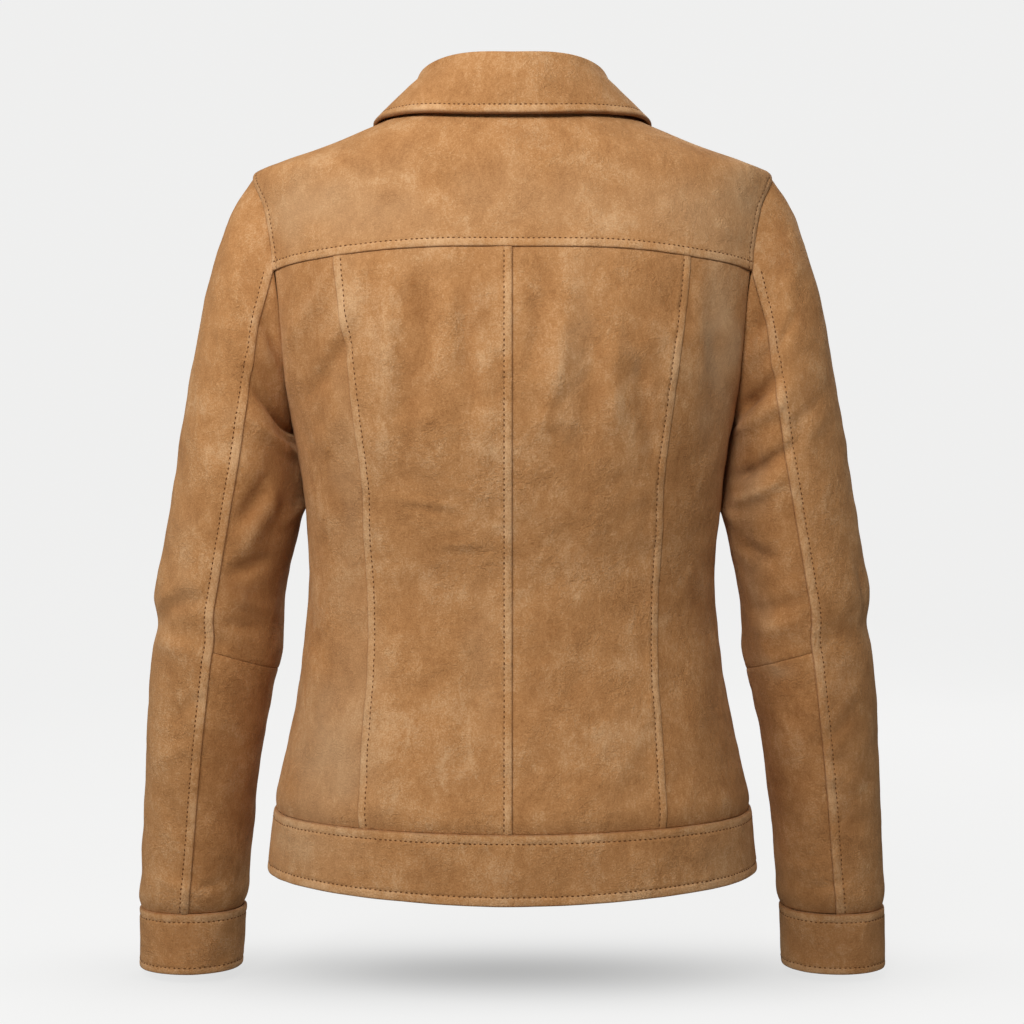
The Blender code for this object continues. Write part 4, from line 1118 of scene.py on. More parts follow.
def stitch_line(one, shape, grid):
    """Map line of the stitches of a seam, on the side of it where the piece lies."""
    cloth = shape[0](grid[..., 0], grid[..., 1]).reshape(-1, 3)
    sides = []
    for distance in (one["stitch"], -one["stitch"]):
        line = offset_line(one["line"], distance, shape)
        middle = line[LINE_POINTS // 2:LINE_POINTS // 2 + 1]
        gap = np.min(np.linalg.norm(cloth - shape[0](middle[:, 0], middle[:, 1]), axis=-1))
        sides.append((gap, line))
    return min(sides, key=lambda side: side[0])[1]


def stitches_along(line, shape, surface, inset=STITCH_INSET):
    """Middle, way and normal of each stitch along a map line."""
    run = run_length(shape[0](line[:, 0], line[:, 1]))
    runs = np.arange(inset + STITCH_PITCH / 2, run[-1] - inset, STITCH_PITCH)
    ends = []
    for shift in (-STITCH_LENGTH / 2, 0, STITCH_LENGTH / 2):
        place = [np.interp(runs + shift, run, line[:, axis]) for axis in range(2)]
        ends.append(surface(*place))
    return ends[1][0], unit(ends[2][0] - ends[0][0]), ends[1][1]


def add_stitches(name, runs, material):
    """One joined mesh of the thread stitches of some seams, each a small slug sunk at both ends."""
    middle, way, normal = (np.concatenate([run[part] for run in runs]) for part in range(3))
    draw = np.random.default_rng(len(middle))
    middle = middle + way * draw.normal(0, STITCH_SLIP, (len(middle), 1))
    side = unit(np.cross(normal, way))
    way = unit(way + side * draw.normal(0, STITCH_TILT, (len(middle), 1)))
    rings = []
    for place, width, height in STITCH_RINGS:
        centre = middle + place * STITCH_LENGTH * way + height * STITCH_HEIGHT * normal
        for number in range(STITCH_SIDES):
            turn = 2 * math.pi * number / STITCH_SIDES
            across = math.cos(turn) * STITCH_WIDTH * side + math.sin(turn) * STITCH_HEIGHT * normal
            rings.append(centre + width / 2 * across)
    each = len(rings)
    quads = [grid_quads(len(STITCH_RINGS), STITCH_SIDES, True)]
    index = quads[0][None] + each * np.arange(len(middle))[:, None, None]
    item = mesh_object(name, np.stack(rings, axis=1).reshape(-1, 3), index.reshape(-1, 4), [material])
    work = bmesh.new()
    work.from_mesh(item.data)
    bmesh.ops.holes_fill(work, edges=work.edges, sides=STITCH_SIDES)
    bmesh.ops.recalc_face_normals(work, faces=work.faces)
    work.to_mesh(item.data)
    work.free()
    item.data.shade_smooth()
    return item


def no_lift(first, bare):
    return 0.0


def add_cloth(
    name, grid, shape, seams, looks, cut, thickness=SUEDE_THICKNESS, lift=no_lift, closed=False,
):
    """One piece of cloth with its stitches; cut, the width, length and area that show in metres, is not
    used.
    """
    surface = cloth_surface(shape, seams, lift)
    outer, normals, marks = surface(grid[..., 0], grid[..., 1])
    sides = [looks["outside"], looks["inside"]]
    item = shell(name + "_cloth", outer, normals, thickness, sides, marks, closed)
    stitched = [one for one in seams if one["stitch"]]
    runs = [stitches_along(stitch_line(one, shape, grid), shape, surface) for one in stitched]
    trims = [add_stitches("stitches_" + name, runs, looks["thread"])] if runs else []
    finish_cloth(name, looks, cut)
    return surface


def finish_cloth(name, looks, cut):
    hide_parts(name)
    width, length, area = cut


# ---------------------------------------------------------------- seams of the left half

def band_top_level(angle):
    return level_at(BAND_TOP_HEIGHT + BAND_TOP_RISE_AT_SIDE * np.cos(np.radians(angle)) ** 2)


def hem_level(angle):
    return level_at(HEM_HEIGHT + HEM_RISE_AT_SIDE * np.cos(np.radians(angle)) ** 2)


def band_line(start, end, level_of=band_top_level):
    angles = np.linspace(start, end, LINE_POINTS)
    return np.stack([angles, level_of(angles)], axis=-1)


PRINCESS_MAP = map_point(PRINCESS_SEAM["x"], PRINCESS_SEAM["height"], True)
PRINCESS_MAP[-1, 1] = band_top_level(PRINCESS_MAP[-1, 0])
YOKE_SEAM_MAP = map_point(YOKE_SEAM["x"], YOKE_SEAM["height"], True)
FRONT_NECK_MAP = map_point(FRONT_NECK["x"], FRONT_NECK["height"], False)
NECK_LAP_END = map_point(float(FRONT_LAP), LAP_NECK_HEIGHT, False)
NECK_LAP_START = map_point(-float(FRONT_LAP), LAP_NECK_HEIGHT, False)
LAP_ANGLE = float(map_point(-float(FRONT_LAP), BAND_TOP_HEIGHT, False)[0])
PRINCESS_ANGLE = float(PRINCESS_MAP[-1, 0])

YOKE_SEAM_OUTER = smooth_line([armhole_map(YOKE_CORNER_TURN), YOKE_SEAM_MAP[4], PRINCESS_MAP[0]])
YOKE_SEAM_INNER = smooth_line([PRINCESS_MAP[0], *YOKE_SEAM_MAP[2::-1]])
PRINCESS = smooth_line(PRINCESS_MAP)
CENTRE_YOKE = straight_line((90, 0), YOKE_SEAM_MAP[0])
CENTRE_BACK = straight_line(YOKE_SEAM_MAP[0], (90, band_top_level(90)))
SIDE_SEAM = straight_line((0, level_at(ARMPIT_HEIGHT)), (0, band_top_level(0)))
SHOULDER = straight_line((0, 0), (0, level_at(SHOULDER_TIP_HEIGHT)))
NECK_BACK = straight_line((0, 0), (90, 0))
NECK_FRONT = joined(
    straight_line(FRONT_NECK_MAP[0], NECK_LAP_END),
    smooth_line([NECK_LAP_END, *FRONT_NECK_MAP[1:], (0, 0)]),
)
FRONT_EDGE_HEIGHTS = np.linspace(LAP_NECK_HEIGHT, BAND_TOP_HEIGHT, LINE_POINTS)
FRONT_EDGE = map_point(np.full(LINE_POINTS, -float(FRONT_LAP)), FRONT_EDGE_HEIGHTS, False)
FRONT_EDGE[-1, 1] = band_top_level(LAP_ANGLE)
ARMHOLE_YOKE = armhole_map(np.linspace(0, YOKE_CORNER_TURN, LINE_POINTS))
ARMHOLE_BACK = armhole_map(np.linspace(YOKE_CORNER_TURN, 180, LINE_POINTS))
ARMHOLE_FRONT = armhole_map(np.linspace(360, 180, LINE_POINTS))


# ---------------------------------------------------------------- materials

def set_inputs(node, inputs):
    """Sets each input of a node, or links another node's output to it."""
    for socket, value in inputs.items():
        if isinstance(value, bpy.types.NodeSocket):
            node.id_data.links.new(value, node.inputs[socket])
        else:
            node.inputs[socket].default_value = value


def node_tool(owner):
    """Function that adds a node to a material or world, with its settings and inputs."""
    def add(kind, inputs=(), **settings):
        node = owner.node_tree.nodes.new(kind)
        for name, value in settings.items():
            setattr(node, name, value)
        set_inputs(node, dict(inputs))
        return node

    return add


def new_material(name):
    """A material, its shader, the function that adds nodes to it, and the place in the object."""
    material = bpy.data.materials.new(name)
    material.use_nodes = True
    add = node_tool(material)
    shader = material.node_tree.nodes["Principled BSDF"]
    return material, shader, add, add("ShaderNodeTexCoord").outputs["Object"]


def noise(add, vector, settings):
    """Noise of a scale and detail and, where they aren't the usual ones, roughness and distortion."""
    inputs = dict(zip(("Scale", "Detail", "Roughness", "Distortion"), settings))
    return add("ShaderNodeTexNoise", {"Vector": vector, **inputs}).outputs["Fac"]


def maths(add, operation, *values, clamp=False):
    inputs = dict(enumerate(values))
    return add("ShaderNodeMath", inputs, operation=operation, use_clamp=clamp).outputs[0]


def blend(add, share, first, second):
    """Colour that passes from the first to the second as the share grows."""
    return add("ShaderNodeMix", {0: share, 6: first, 7: second}, data_type="RGBA").outputs[2]


def colour_ramp(add, value, tones, stops=(0.0, 1.0)):
    """Colour that runs through the tones as a value passes the stops."""
    ramp = add("ShaderNodeValToRGB", {"Fac": value})
    elements = ramp.color_ramp.elements
    elements[0].position = stops[0]
    elements[1].position = stops[-1]
    for stop in stops[1:-1]:
        elements.new(stop)
    for element, tone in zip(elements, tones):
        element.color = (*tone, 1)
    return ramp.outputs["Color"]


def bump(add, height, settings):
    return add("ShaderNodeBump", {"Height": height, **settings}).outputs["Normal"]


def make_suede(name):
    """Brushed suede: mottled by the way its nap lies, with patches of nap and of painted light and shade,
    painted paler on ridges and darker in troughs, paler on the strips beside stitches, and darker along its
    edges, partly as painted seam shade.
    """
    light, middle, dark, sheen = SUEDES[name]
    material, shader, add, place = new_material(name)
    stretched = add("ShaderNodeMapping", {"Vector": place, "Scale": NAP_STRETCH}).outputs["Vector"]
    clouds = noise(add, place, CLOUDS)
    patches = noise(add, stretched, PATCHES)
    streaks = noise(add, stretched, STREAKS)
    grain = noise(add, place, GRAIN)
    crease, edge, strip, nap = (
        add("ShaderNodeAttribute", attribute_name=mark).outputs["Fac"]
        for mark in ("crease", "seam", "strip", "nap")
    )

    tone = maths(add, "MULTIPLY_ADD", clouds, CLOUD_TONE, TONE_BASE)
    for field, share in ((patches, PATCH_TONE), (streaks, STREAK_TONE), (grain, GRAIN_TONE)):
        tone = maths(add, "MULTIPLY_ADD", maths(add, "SUBTRACT", field, 0.5), share, tone)
    # Painted shading: paler on ridges, darker in troughs
    tone = maths(add, "MULTIPLY_ADD", crease, CREASE_PAINTED_SHADING, tone)
    tone = maths(add, "MULTIPLY_ADD", strip, STRIP_TONE, tone, clamp=True)
    colour = colour_ramp(add, tone, (dark, middle, light), TONE_STOPS)
    # Patches of nap and painted light and shade: the pale ones are partly painted highlight, the dark ones
    # partly painted shade
    colour = blend(add, maths(add, "MULTIPLY", nap, PALE_NAP_AND_HIGHLIGHT_SHARE, clamp=True), colour, (*PALE_NAP_AND_HIGHLIGHT, 1))
    colour = blend(add, maths(add, "MULTIPLY", nap, -DEEP_NAP_AND_SHADE_SHARE, clamp=True), colour, (*DEEP_NAP_AND_SHADE, 1))
    # Dark line at edges: partly the darker cut edge, partly painted shade in the seam
    shade = [part * tint for part, tint in zip(dark, CUT_EDGE_AND_SEAM_SHADE_TINT)]
    colour = blend(add, maths(add, "MULTIPLY", edge, CUT_EDGE_AND_SEAM_SHADE_SHARE), colour, (*shade, 1))

    wrinkles = noise(add, place, WRINKLES)
    where = noise(add, place, WRINKLED_AREAS)
    where = maths(add, "MULTIPLY_ADD", where, WRINKLE_CONTRAST, WRINKLE_LEVEL, clamp=True)
    height = maths(add, "MULTIPLY", grain, GRAIN_HEIGHT)
    height = maths(add, "MULTIPLY_ADD", maths(add, "MULTIPLY", wrinkles, where), WRINKLE_HEIGHT, height)
    height = maths(add, "MULTIPLY_ADD", patches, PATCH_HEIGHT, height)
    set_inputs(shader, {
        "Base Color": colour,
        "Normal": bump(add, height, {"Strength": 0.8, "Distance": 0.0013}),
        "Roughness": 0.93,
        "Specular IOR Level": 0.12,
        "Sheen Weight": sheen,
        "Sheen Roughness": 0.55,
        "Sheen Tint": (*SHEEN_TINT, 1),
    })
    return material


def make_thread():
    """Twisted dark-brown thread."""
    material, shader, add, place = new_material("thread")
    twist = noise(add, place, TWIST)
    set_inputs(shader, {
        "Base Color": colour_ramp(add, twist, THREAD_TONES),
        "Normal": bump(add, twist, {"Strength": 0.4, "Distance": 0.0003}),
        "Roughness": 0.8,
        "Specular IOR Level": 0.15,
    })
    return material


def make_brass():
    """Dull antique brass, darker where it is tarnished, with fine scratches."""
    material, shader, add, place = new_material("antique_brass")
    tarnish = noise(add, place, TARNISH)
    dull = {"Value": tarnish, "To Min": BRASS_ROUGHNESS[0], "To Max": BRASS_ROUGHNESS[1]}
    scratches = noise(add, place, SCRATCHES)
    set_inputs(shader, {
        "Base Color": colour_ramp(add, tarnish, BRASS_TONES, BRASS_STOPS),
        "Normal": bump(add, scratches, {"Strength": 0.25, "Distance": 0.0002}),
        "Roughness": add("ShaderNodeMapRange", dull).outputs["Result"],
        "Metallic": 0.9,
    })
    return material


# ---------------------------------------------------------------- body pieces

# Width, length and area of the cut that shows, in metres and square metres
CUTS = {
    "back_yoke": (0.43, 0.155, 0.0591),
    "back_centre": (0.140, 0.436, 0.0517),
    "back_side": (0.128, 0.436, 0.0420),
    "front": (0.315, 0.560, 0.1290),
    "waistband": (1.03, 0.0520, 0.0530),
    "sleeve_top": (0.235, 0.575, 0.1085),
    "sleeve_under_upper": (0.160, 0.290, 0.0281),
    "sleeve_under_lower": (0.100, 0.225, 0.0204),
    "cuff": (0.262, 0.0475, 0.0122),
    "collar": (0.620, 0.112, 0.0496),
}


def both_sides(name, grid, seams_of, looks, **options):
    """Adds a body piece and the one opposite it, each with the seams that seams_of gives."""
    for suffix, turn in (("_left", lambda line: line), ("_right", opposite)):
        seams = [seam(turn(line), *rest) for line, *rest in seams_of(suffix)]
        add_cloth(name + suffix, turn(grid), BODY, seams, looks, CUTS[name], **options)


def side_back_lift(first, bare):
    """How far a side back stands up along its armhole, fading out towards the yoke and the armpit."""
    left = bare * np.where(bare[..., :1] < 0, mirrored(np.ones(3)), 1.0)
    gap = distance_to(left, body_point(ARMHOLE_BACK[:, 0], ARMHOLE_BACK[:, 1]))
    reach = ARMHOLE_RISE["distance"][-1]
    rise = interpolate(ARMHOLE_RISE["distance"], ARMHOLE_RISE["height"], np.minimum(gap, reach))
    height = bare[..., 2]
    below_yoke = YOKE_CORNER_HEIGHT - height
    above_armpit = height - ARMPIT_HEIGHT + ARMHOLE_RISE_PAST_ARMPIT
    ends = np.minimum(below_yoke, above_armpit) / ARMHOLE_RISE_FADE
    share = np.clip(ends, 0, 1)
    return rise * share * share * (3 - 2 * share)


def make_back(tan, deep):
    bottom = joined(YOKE_SEAM_OUTER, YOKE_SEAM_INNER)
    lines = (joined(SHOULDER[::-1], NECK_BACK), bottom, ARMHOLE_YOKE, CENTRE_YOKE)
    half = patch(body_point, lines, ("lap", "lap", "lap", "join"), BACK_STEP)
    grid = np.concatenate([half, opposite(half)[:, -2::-1]], axis=1)
    seams = []
    for turn in (lambda line: line, opposite):
        seams.append(seam(turn(ARMHOLE_YOKE), "lap", ARMHOLE_STITCH, ARMHOLE_CALM))
        seams.append(seam(turn(SHOULDER), "lap", SEAM_STITCH))
    seams.append(seam(joined(bottom, opposite(bottom)[::-1]), "lap", YOKE_STITCH))
    add_cloth("back_yoke", grid, BODY, seams, tan, CUTS["back_yoke"])

    lines = (YOKE_SEAM_INNER, band_line(PRINCESS_ANGLE, 90), PRINCESS, CENTRE_BACK)

    def centre_seams(suffix):
        over = suffix == "_left"
        return [
            (YOKE_SEAM_INNER, "under"),
            (lines[1], "band", 0, BAND_CALM),
            (PRINCESS, "lap", SEAM_STITCH),
            (CENTRE_BACK, "lap" if over else "under", SEAM_STITCH if over else 0),
        ]

    grid = patch(body_point, lines, ("under", "band", "lap", "lap"), BACK_STEP)
    both_sides("back_centre", grid, centre_seams, tan)

    side = joined(ARMHOLE_BACK, SIDE_SEAM)
    side_lines = (YOKE_SEAM_OUTER, band_line(0, PRINCESS_ANGLE), side, PRINCESS)
    corner = line_length(ARMHOLE_BACK, body_point) / line_length(side, body_point)

    def side_seams(suffix):
        return [
            (YOKE_SEAM_OUTER, "under"),
            (side_lines[1], "band", 0, BAND_CALM),
            (ARMHOLE_BACK, "plain", 0, ARMHOLE_CALM),
            (SIDE_SEAM, "plain"),
            (PRINCESS, "under"),
        ]

    grid = patch(body_point, side_lines, ("under", "band", "plain", "under"), BACK_STEP, (corner,))
    both_sides("back_side", grid, side_seams, deep, lift=side_back_lift)


def lap_lift(x, lift):
    """How far the upper front stands off, growing from its ramp to the centre and past it."""
    part = np.clip((x + LAP_RAMP_START) / (LAP_RAMP_START - LAP_RAMP_END), 0, 1)
    return lift * part * part * (3 - 2 * part)


def right_front_lift(first, bare):
    return np.where(first > 180, lap_lift(bare[..., 0], FRONT_LIFT), 0.0)


def make_fronts(looks):
    side = joined(ARMHOLE_FRONT, SIDE_SEAM)
    lines = (
        joined(straight_line(NECK_LAP_START, FRONT_NECK_MAP[0]), NECK_FRONT, SHOULDER),
        band_line(LAP_ANGLE, 0),
        FRONT_EDGE,
        side,
    )
    armpit = line_length(ARMHOLE_FRONT, body_point) / line_length(side, body_point)

    def front_seams(suffix):
        return [
            (SHOULDER, "under"),
            (ARMHOLE_FRONT, "plain", 0, ARMHOLE_CALM),
            (SIDE_SEAM, "plain"),
            (lines[1], "band", 0, BAND_CALM),
            (FRONT_EDGE, "edge", SEAM_STITCH),
        ]

    grid = patch(body_point, lines, ("under", "band", "lap", "plain"), FRONT_STEP, (armpit,))
    both_sides("front", grid, front_seams, looks, lift=right_front_lift)


def band_lift(first, bare):
    upper = np.where(first > 180, lap_lift(bare[..., 0], BAND_LIFT), 0.0)
    return upper + DOUBLED_THICKNESS - SUEDE_THICKNESS


def make_waistband(looks):
    ends = (LAP_ANGLE, 180 - LAP_ANGLE)
    top = band_line(*ends)
    bottom = band_line(*ends, hem_level)
    first = straight_line(top[0], bottom[0])
    last = straight_line(top[-1], bottom[-1])
    grid = patch(body_point, (top, bottom, first, last), ("edge", "edge", "edge", "edge"), BAND_STEP)
    seams = [
        seam(top, "edge", BAND_STITCH),
        seam(bottom, "edge", HEM_STITCH),
        seam(first, "edge", HEM_STITCH),
        seam(last, "edge", HEM_STITCH),
    ]
    add_cloth("waistband", grid, BAND, seams, looks, CUTS["waistband"], DOUBLED_THICKNESS, band_lift)


# ---------------------------------------------------------------- sleeves

def back_seam_turn(run):
    turn = interpolate(SLEEVE_BACK_SEAM["run"], SLEEVE_BACK_SEAM["turn"], run)
    return turn + YOKE_CORNER_TURN - SLEEVE_BACK_SEAM["turn"][0]


def front_seam_turn(run):
    return interpolate(SLEEVE_FRONT_SEAM["run"], SLEEVE_FRONT_SEAM["turn"], run)


def long_seam(turn_of, start, end, add=0):
    runs = np.linspace(start, end, LINE_POINTS)
    return np.stack([turn_of(runs) + add, runs], axis=-1)


def ring(first_turn, last_turn, run):
    return straight_line((first_turn, run), (last_turn, run))


def cuff_lift(first, bare):
    return DOUBLED_THICKNESS - SUEDE_THICKNESS


def make_sleeve(suffix, shape, tan, deep):
    """A sleeve's three pieces, where the top one laps over the others at the back, and its cuff."""
    def sleeve_piece(stem, first, last, kinds, seams, looks):
        lines = (straight_line(first[0], last[0]), straight_line(first[-1], last[-1]), first, last)
        start = first[0, 1]
        calm = ARMHOLE_CALM if start == 0 else 0
        ends = [seam(lines[0], kinds[0], 0, calm), seam(lines[1], kinds[1])]
        grid = patch(sleeve_point, lines, kinds, SLEEVE_STEP)
        add_cloth(stem + suffix, grid, shape, ends + seams, looks, CUTS[stem])

    first = long_seam(front_seam_turn, 0, CUFF_TOP_RUN)
    last = long_seam(back_seam_turn, 0, CUFF_TOP_RUN, 360)
    seams = [seam(first, "plain"), seam(last, "lap", SLEEVE_STITCH)]
    kinds = ("under", "band", "plain", "lap")
    sleeve_piece("sleeve_top", first, last, kinds, seams, tan)
    cuff_runs = (CUFF_TOP_RUN, CUFF_TOP_RUN)
    for stem, starts, ends, end_kind in (
        ("sleeve_under_upper", (0, 0), ELBOW_SEAM_RUNS, "plain"),
        ("sleeve_under_lower", ELBOW_SEAM_RUNS, cuff_runs, "band"),
    ):
        first = long_seam(back_seam_turn, starts[0], ends[0])
        last = long_seam(front_seam_turn, starts[1], ends[1])
        seams = [seam(first, "under"), seam(last, "plain")]
        sleeve_piece(stem, first, last, ("plain", end_kind, "under", "plain"), seams, deep)

    top = ring(0, 360, CUFF_TOP_RUN)
    bottom = ring(0, 360, CUFF_BOTTOM_RUN)
    lines = (top, bottom, straight_line(top[0], bottom[0]), straight_line(top[-1], bottom[-1]))
    grid = patch(sleeve_point, lines, ("edge", "edge", "join", "join"), BAND_STEP)[:, :-1]
    seams = [seam(top, "edge", CUFF_STITCH), seam(bottom, "edge", CUFF_HEM_STITCH)]
    cuff_shape = (shape[0], shape[1], band_relief, sleeve_nap_and_shading)
    cut = CUTS["cuff"]
    add_cloth("cuff" + suffix, grid, cuff_shape, seams, tan, cut, DOUBLED_THICKNESS, cuff_lift, True)


# ---------------------------------------------------------------- collar

COLLAR_STATIONS = 341

# Cross-section: a point up the stand, degrees round the fold, and shares of the fall below it
STAND_SHARE = 0.55
COLLAR_LOOP_STEPS = (45, 90, 135, 180)
FALL_SHARES = (0.3, 0.65, 1.0)
FOLD_END_POINT = 2 + len(COLLAR_LOOP_STEPS)

# The front ends stop short of each other over this share of each half
COLLAR_END_SHARE = 0.1

# Share of the profile at which the outside of the fall begins, and how soon it is whole
OUTSIDE_START = 0.42
OUTSIDE_LENGTH = 0.08
OUT_OF_REACH = 40
WHOLLY_OUTSIDE = 0.99

# The stitches of a front end are looked for in the last one of this many parts of the collar
END_PARTS = 4


def collar_feet(neck):
    """Foot of the collar along the neckline, just inside the rim of the body."""
    rim = body_point(neck[:, 0], neck[:, 1])
    way = np.gradient(rim, axis=0)
    away = unit(np.stack([way[:, 1], -way[:, 0], 0 * way[:, 2]], axis=-1))
    steep = np.sum(body_normal(neck[:, 0], neck[:, 1]) * away, axis=-1, keepdims=True)
    inset = SUEDE_THICKNESS * steep + COLLAR_FOOT_GAP + DOUBLED_THICKNESS
    return rim - away * inset - np.array([0, 0, COLLAR_SINK])


def collar_profiles(place, foot):
    """Cross-sections of the left half of the collar, from its foot over the fold to its edge."""
    def knot(rows, name, values=None):
        return interpolate(rows["place"], rows[name] if values is None else values, place)

    angle = knot(COLLAR_EDGE, "angle")
    level = knot(COLLAR_EDGE, "height", level_at(COLLAR_EDGE["height"]))
    edge = body_point(angle, level) + knot(COLLAR_EDGE, "lift")[:, None] * body_normal(angle, level)
    radius = knot(COLLAR_FOLD, "radius")[:, None]
    up = np.array([0.0, 0.0, 1.0])
    outward = unit((edge - foot) * np.array([1, 1, 0]))
    stand_top = foot + knot(COLLAR_FOLD, "lean")[:, None] * outward
    stand_top = stand_top + (knot(COLLAR_FOLD, "rise")[:, None] + COLLAR_SINK - radius) * up
    points = [foot, foot + STAND_SHARE * (stand_top - foot), stand_top]
    for step in COLLAR_LOOP_STEPS:
        turn = math.radians(step)
        points.append(stand_top + radius * ((1 - math.cos(turn)) * outward + math.sin(turn) * up))
    shoulder = points[-1]
    side_way = np.cross(unit(edge - shoulder), unit(np.cross(up, outward)))
    side_way = side_way * np.sign(side_way[:, 2:])
    bow = knot(COLLAR_EDGE, "bow")[:, None]
    for part in FALL_SHARES:
        points.append(shoulder + part * (edge - shoulder) + bow * math.sin(math.pi * part) * side_way)
    return np.stack(points, axis=1)


def collar_profile_lines():
    """Cross-sections of the whole collar from its left front end round the back to the right."""
    share = np.linspace(0, 1, COLLAR_STATIONS)
    place = np.concatenate([2 - share, 1 - share[1:]])
    neck = np.concatenate([
        along(NECK_FRONT, share, body_point),
        along(NECK_BACK, share[1:], body_point),
    ])
    half = collar_profiles(place, collar_feet(neck))
    near_end = np.clip((place - (2 - COLLAR_END_SHARE)) / COLLAR_END_SHARE, 0, 1)
    half[..., 0] += COLLAR_END_GAP * near_end[:, None]
    return np.concatenate([half, mirrored(half[-2::-1])])


def collar_points(profiles, runs, columns, rows):
    """Bare points at columns along the fold, whose profiles lie at runs, and at shares of each profile."""
    knots = profiles.reshape(len(profiles), -1).T
    spots = np.stack([np.interp(columns, runs, knot) for knot in knots], axis=-1)
    points = np.empty((len(columns), len(rows), 3))
    for index, profile in enumerate(spots.reshape(len(columns), -1, 3)):
        run = run_length(profile)
        points[index] = interpolate(run, profile, rows * run[-1])
    return points.transpose(1, 0, 2)


def make_collar(looks):
    """Doubled collar: a stand, a fold and a fall with stitches beside its three open edges."""
    profiles = collar_profile_lines()
    fold_run = run_length(profiles[:, FOLD_END_POINT])
    mean_length = np.mean([run_length(profile)[-1] for profile in profiles])
    counts = spread_counts(fold_run[-1], COLLAR_STEP, "edge", "edge")
    columns = spread(fold_run[-1], counts, "edge", "edge")[0] * fold_run[-1]
    counts = spread_counts(mean_length, COLLAR_STEP, "plain", "edge")
    rows = spread(mean_length, counts, "plain", "edge")[0]
    bare = collar_points(profiles, fold_run, columns, rows)
    normal = unit(np.cross(np.gradient(bare, axis=0), np.gradient(bare, axis=1)))

    row_share = rows[:, None] + 0 * columns[None, :]
    outside = np.clip((row_share - OUTSIDE_START) / OUTSIDE_LENGTH, 0, 1)
    hidden = OUT_OF_REACH * (1 - outside)
    gaps = {
        "edge": distance_to(bare, bare[-1]),
        "left": distance_to(bare, bare[:, 0]) + hidden,
        "right": distance_to(bare, bare[:, -1]) + hidden,
    }
    profile = PROFILES["edge"]
    reach = profile["distance"][-1]
    height = 0.0
    close = np.zeros(bare.shape[:-1])
    strip = np.zeros(bare.shape[:-1])
    for gap in gaps.values():
        height = height + interpolate(profile["distance"], profile["height"], np.minimum(gap, reach))
        height = height - GROOVE_DEPTH * groove_at(gap, COLLAR_STITCH)
        # Dark line at the edges: partly the darker cut edge, partly painted shade in the seam
        close = np.maximum(close, np.exp(-(gap / COLLAR_EDGE_LINE_WIDTH) ** 2))
        strip = np.maximum(strip, strip_at(gap, COLLAR_STITCH))
    relief = unevenness(bare, COLLAR_UNEVEN) * outside
    outer = bare + (relief + height)[..., None] * normal
    marks = {"crease": relief, "seam": close, "strip": strip * outside, "nap": 0 * relief}
    sides = [looks["outside"], looks["outside"]]
    item = shell("collar_cloth", outer, normal, DOUBLED_THICKNESS, sides, marks)

    lines = [stitch_row(outer, normal, gaps["edge"], COLLAR_STITCH)]
    for name in ("left", "right"):
        last = name == "right"
        lines.append(stitch_column(outer, normal, gaps[name], COLLAR_STITCH, last, outside))
    runs = [line_stitches(line, COLLAR_STITCH) for line in lines]
    trims = [add_stitches("stitches_collar", runs, looks["thread"])]
    finish_cloth("collar", looks, CUTS["collar"])


def cross_at(values, gap, distance, axis):
    """Values where the gap falls to a distance, met from the far side along an axis of the grid."""
    if axis == 1:
        return cross_at(np.swapaxes(values, 0, 1), gap.T, distance, 0)
    found = []
    for column in range(gap.shape[1]):
        order = np.argsort(gap[:, column], kind="stable")
        near = order[np.argmin(np.abs(gap[order, column] - distance))]
        other = near + 1 if gap[near, column] > distance else near - 1
        other = int(np.clip(other, 0, len(gap) - 1))
        span = gap[other, column] - gap[near, column]
        part = 0.0 if abs(span) < TINY else (distance - gap[near, column]) / span
        part = float(np.clip(part, 0, 1))
        found.append((1 - part) * values[near, column] + part * values[other, column])
    return np.array(found)


def stitch_row(outer, normal, gap, distance):
    return cross_at(outer, gap, distance, 0), cross_at(normal, gap, distance, 0)


def stitch_column(outer, normal, gap, distance, last, outside):
    """The line beside a front end of the collar, on the part of it that is turned down."""
    keep = np.min(outside, axis=1) > WHOLLY_OUTSIDE
    count = gap.shape[1] // END_PARTS
    part = slice(-count, None) if last else slice(0, count)
    outer, normal, gap = outer[keep][:, part], normal[keep][:, part], gap[keep][:, part]
    if last:
        outer, normal, gap = outer[:, ::-1], normal[:, ::-1], gap[:, ::-1]
    return cross_at(outer, gap, distance, 1), cross_at(normal, gap, distance, 1)


def line_stitches(line, inset):
    """Middle, way and normal of each stitch along a line of points."""
    points, normals = line
    run = run_length(points)
    runs = np.arange(inset + STITCH_PITCH / 2, run[-1] - inset, STITCH_PITCH)

    def at(values, where):
        return np.stack([np.interp(where, run, values[:, axis]) for axis in range(3)], axis=-1)

    way = unit(at(points, runs + STITCH_LENGTH / 2) - at(points, runs - STITCH_LENGTH / 2))
    return at(points, runs), way, unit(at(normals, runs))


# ---------------------------------------------------------------- buttons

# Outline of a snap cap from its middle outwards and down: share of its radius, height
CAP_OUTLINE = (
    (0.0, 3.3), (0.2, 3.27), (0.42, 3.14), (0.6, 2.92), (0.72, 2.66), (0.76, 2.5), (0.8, 2.62), (0.88, 2.82),
    (0.95, 2.74), (0.99, 2.4), (1.0, 1.9), (0.985, 1.2), (0.95, 0.6), (0.9, 0.15), (0.84, 0.0),
)
CAP_SIDES = 56


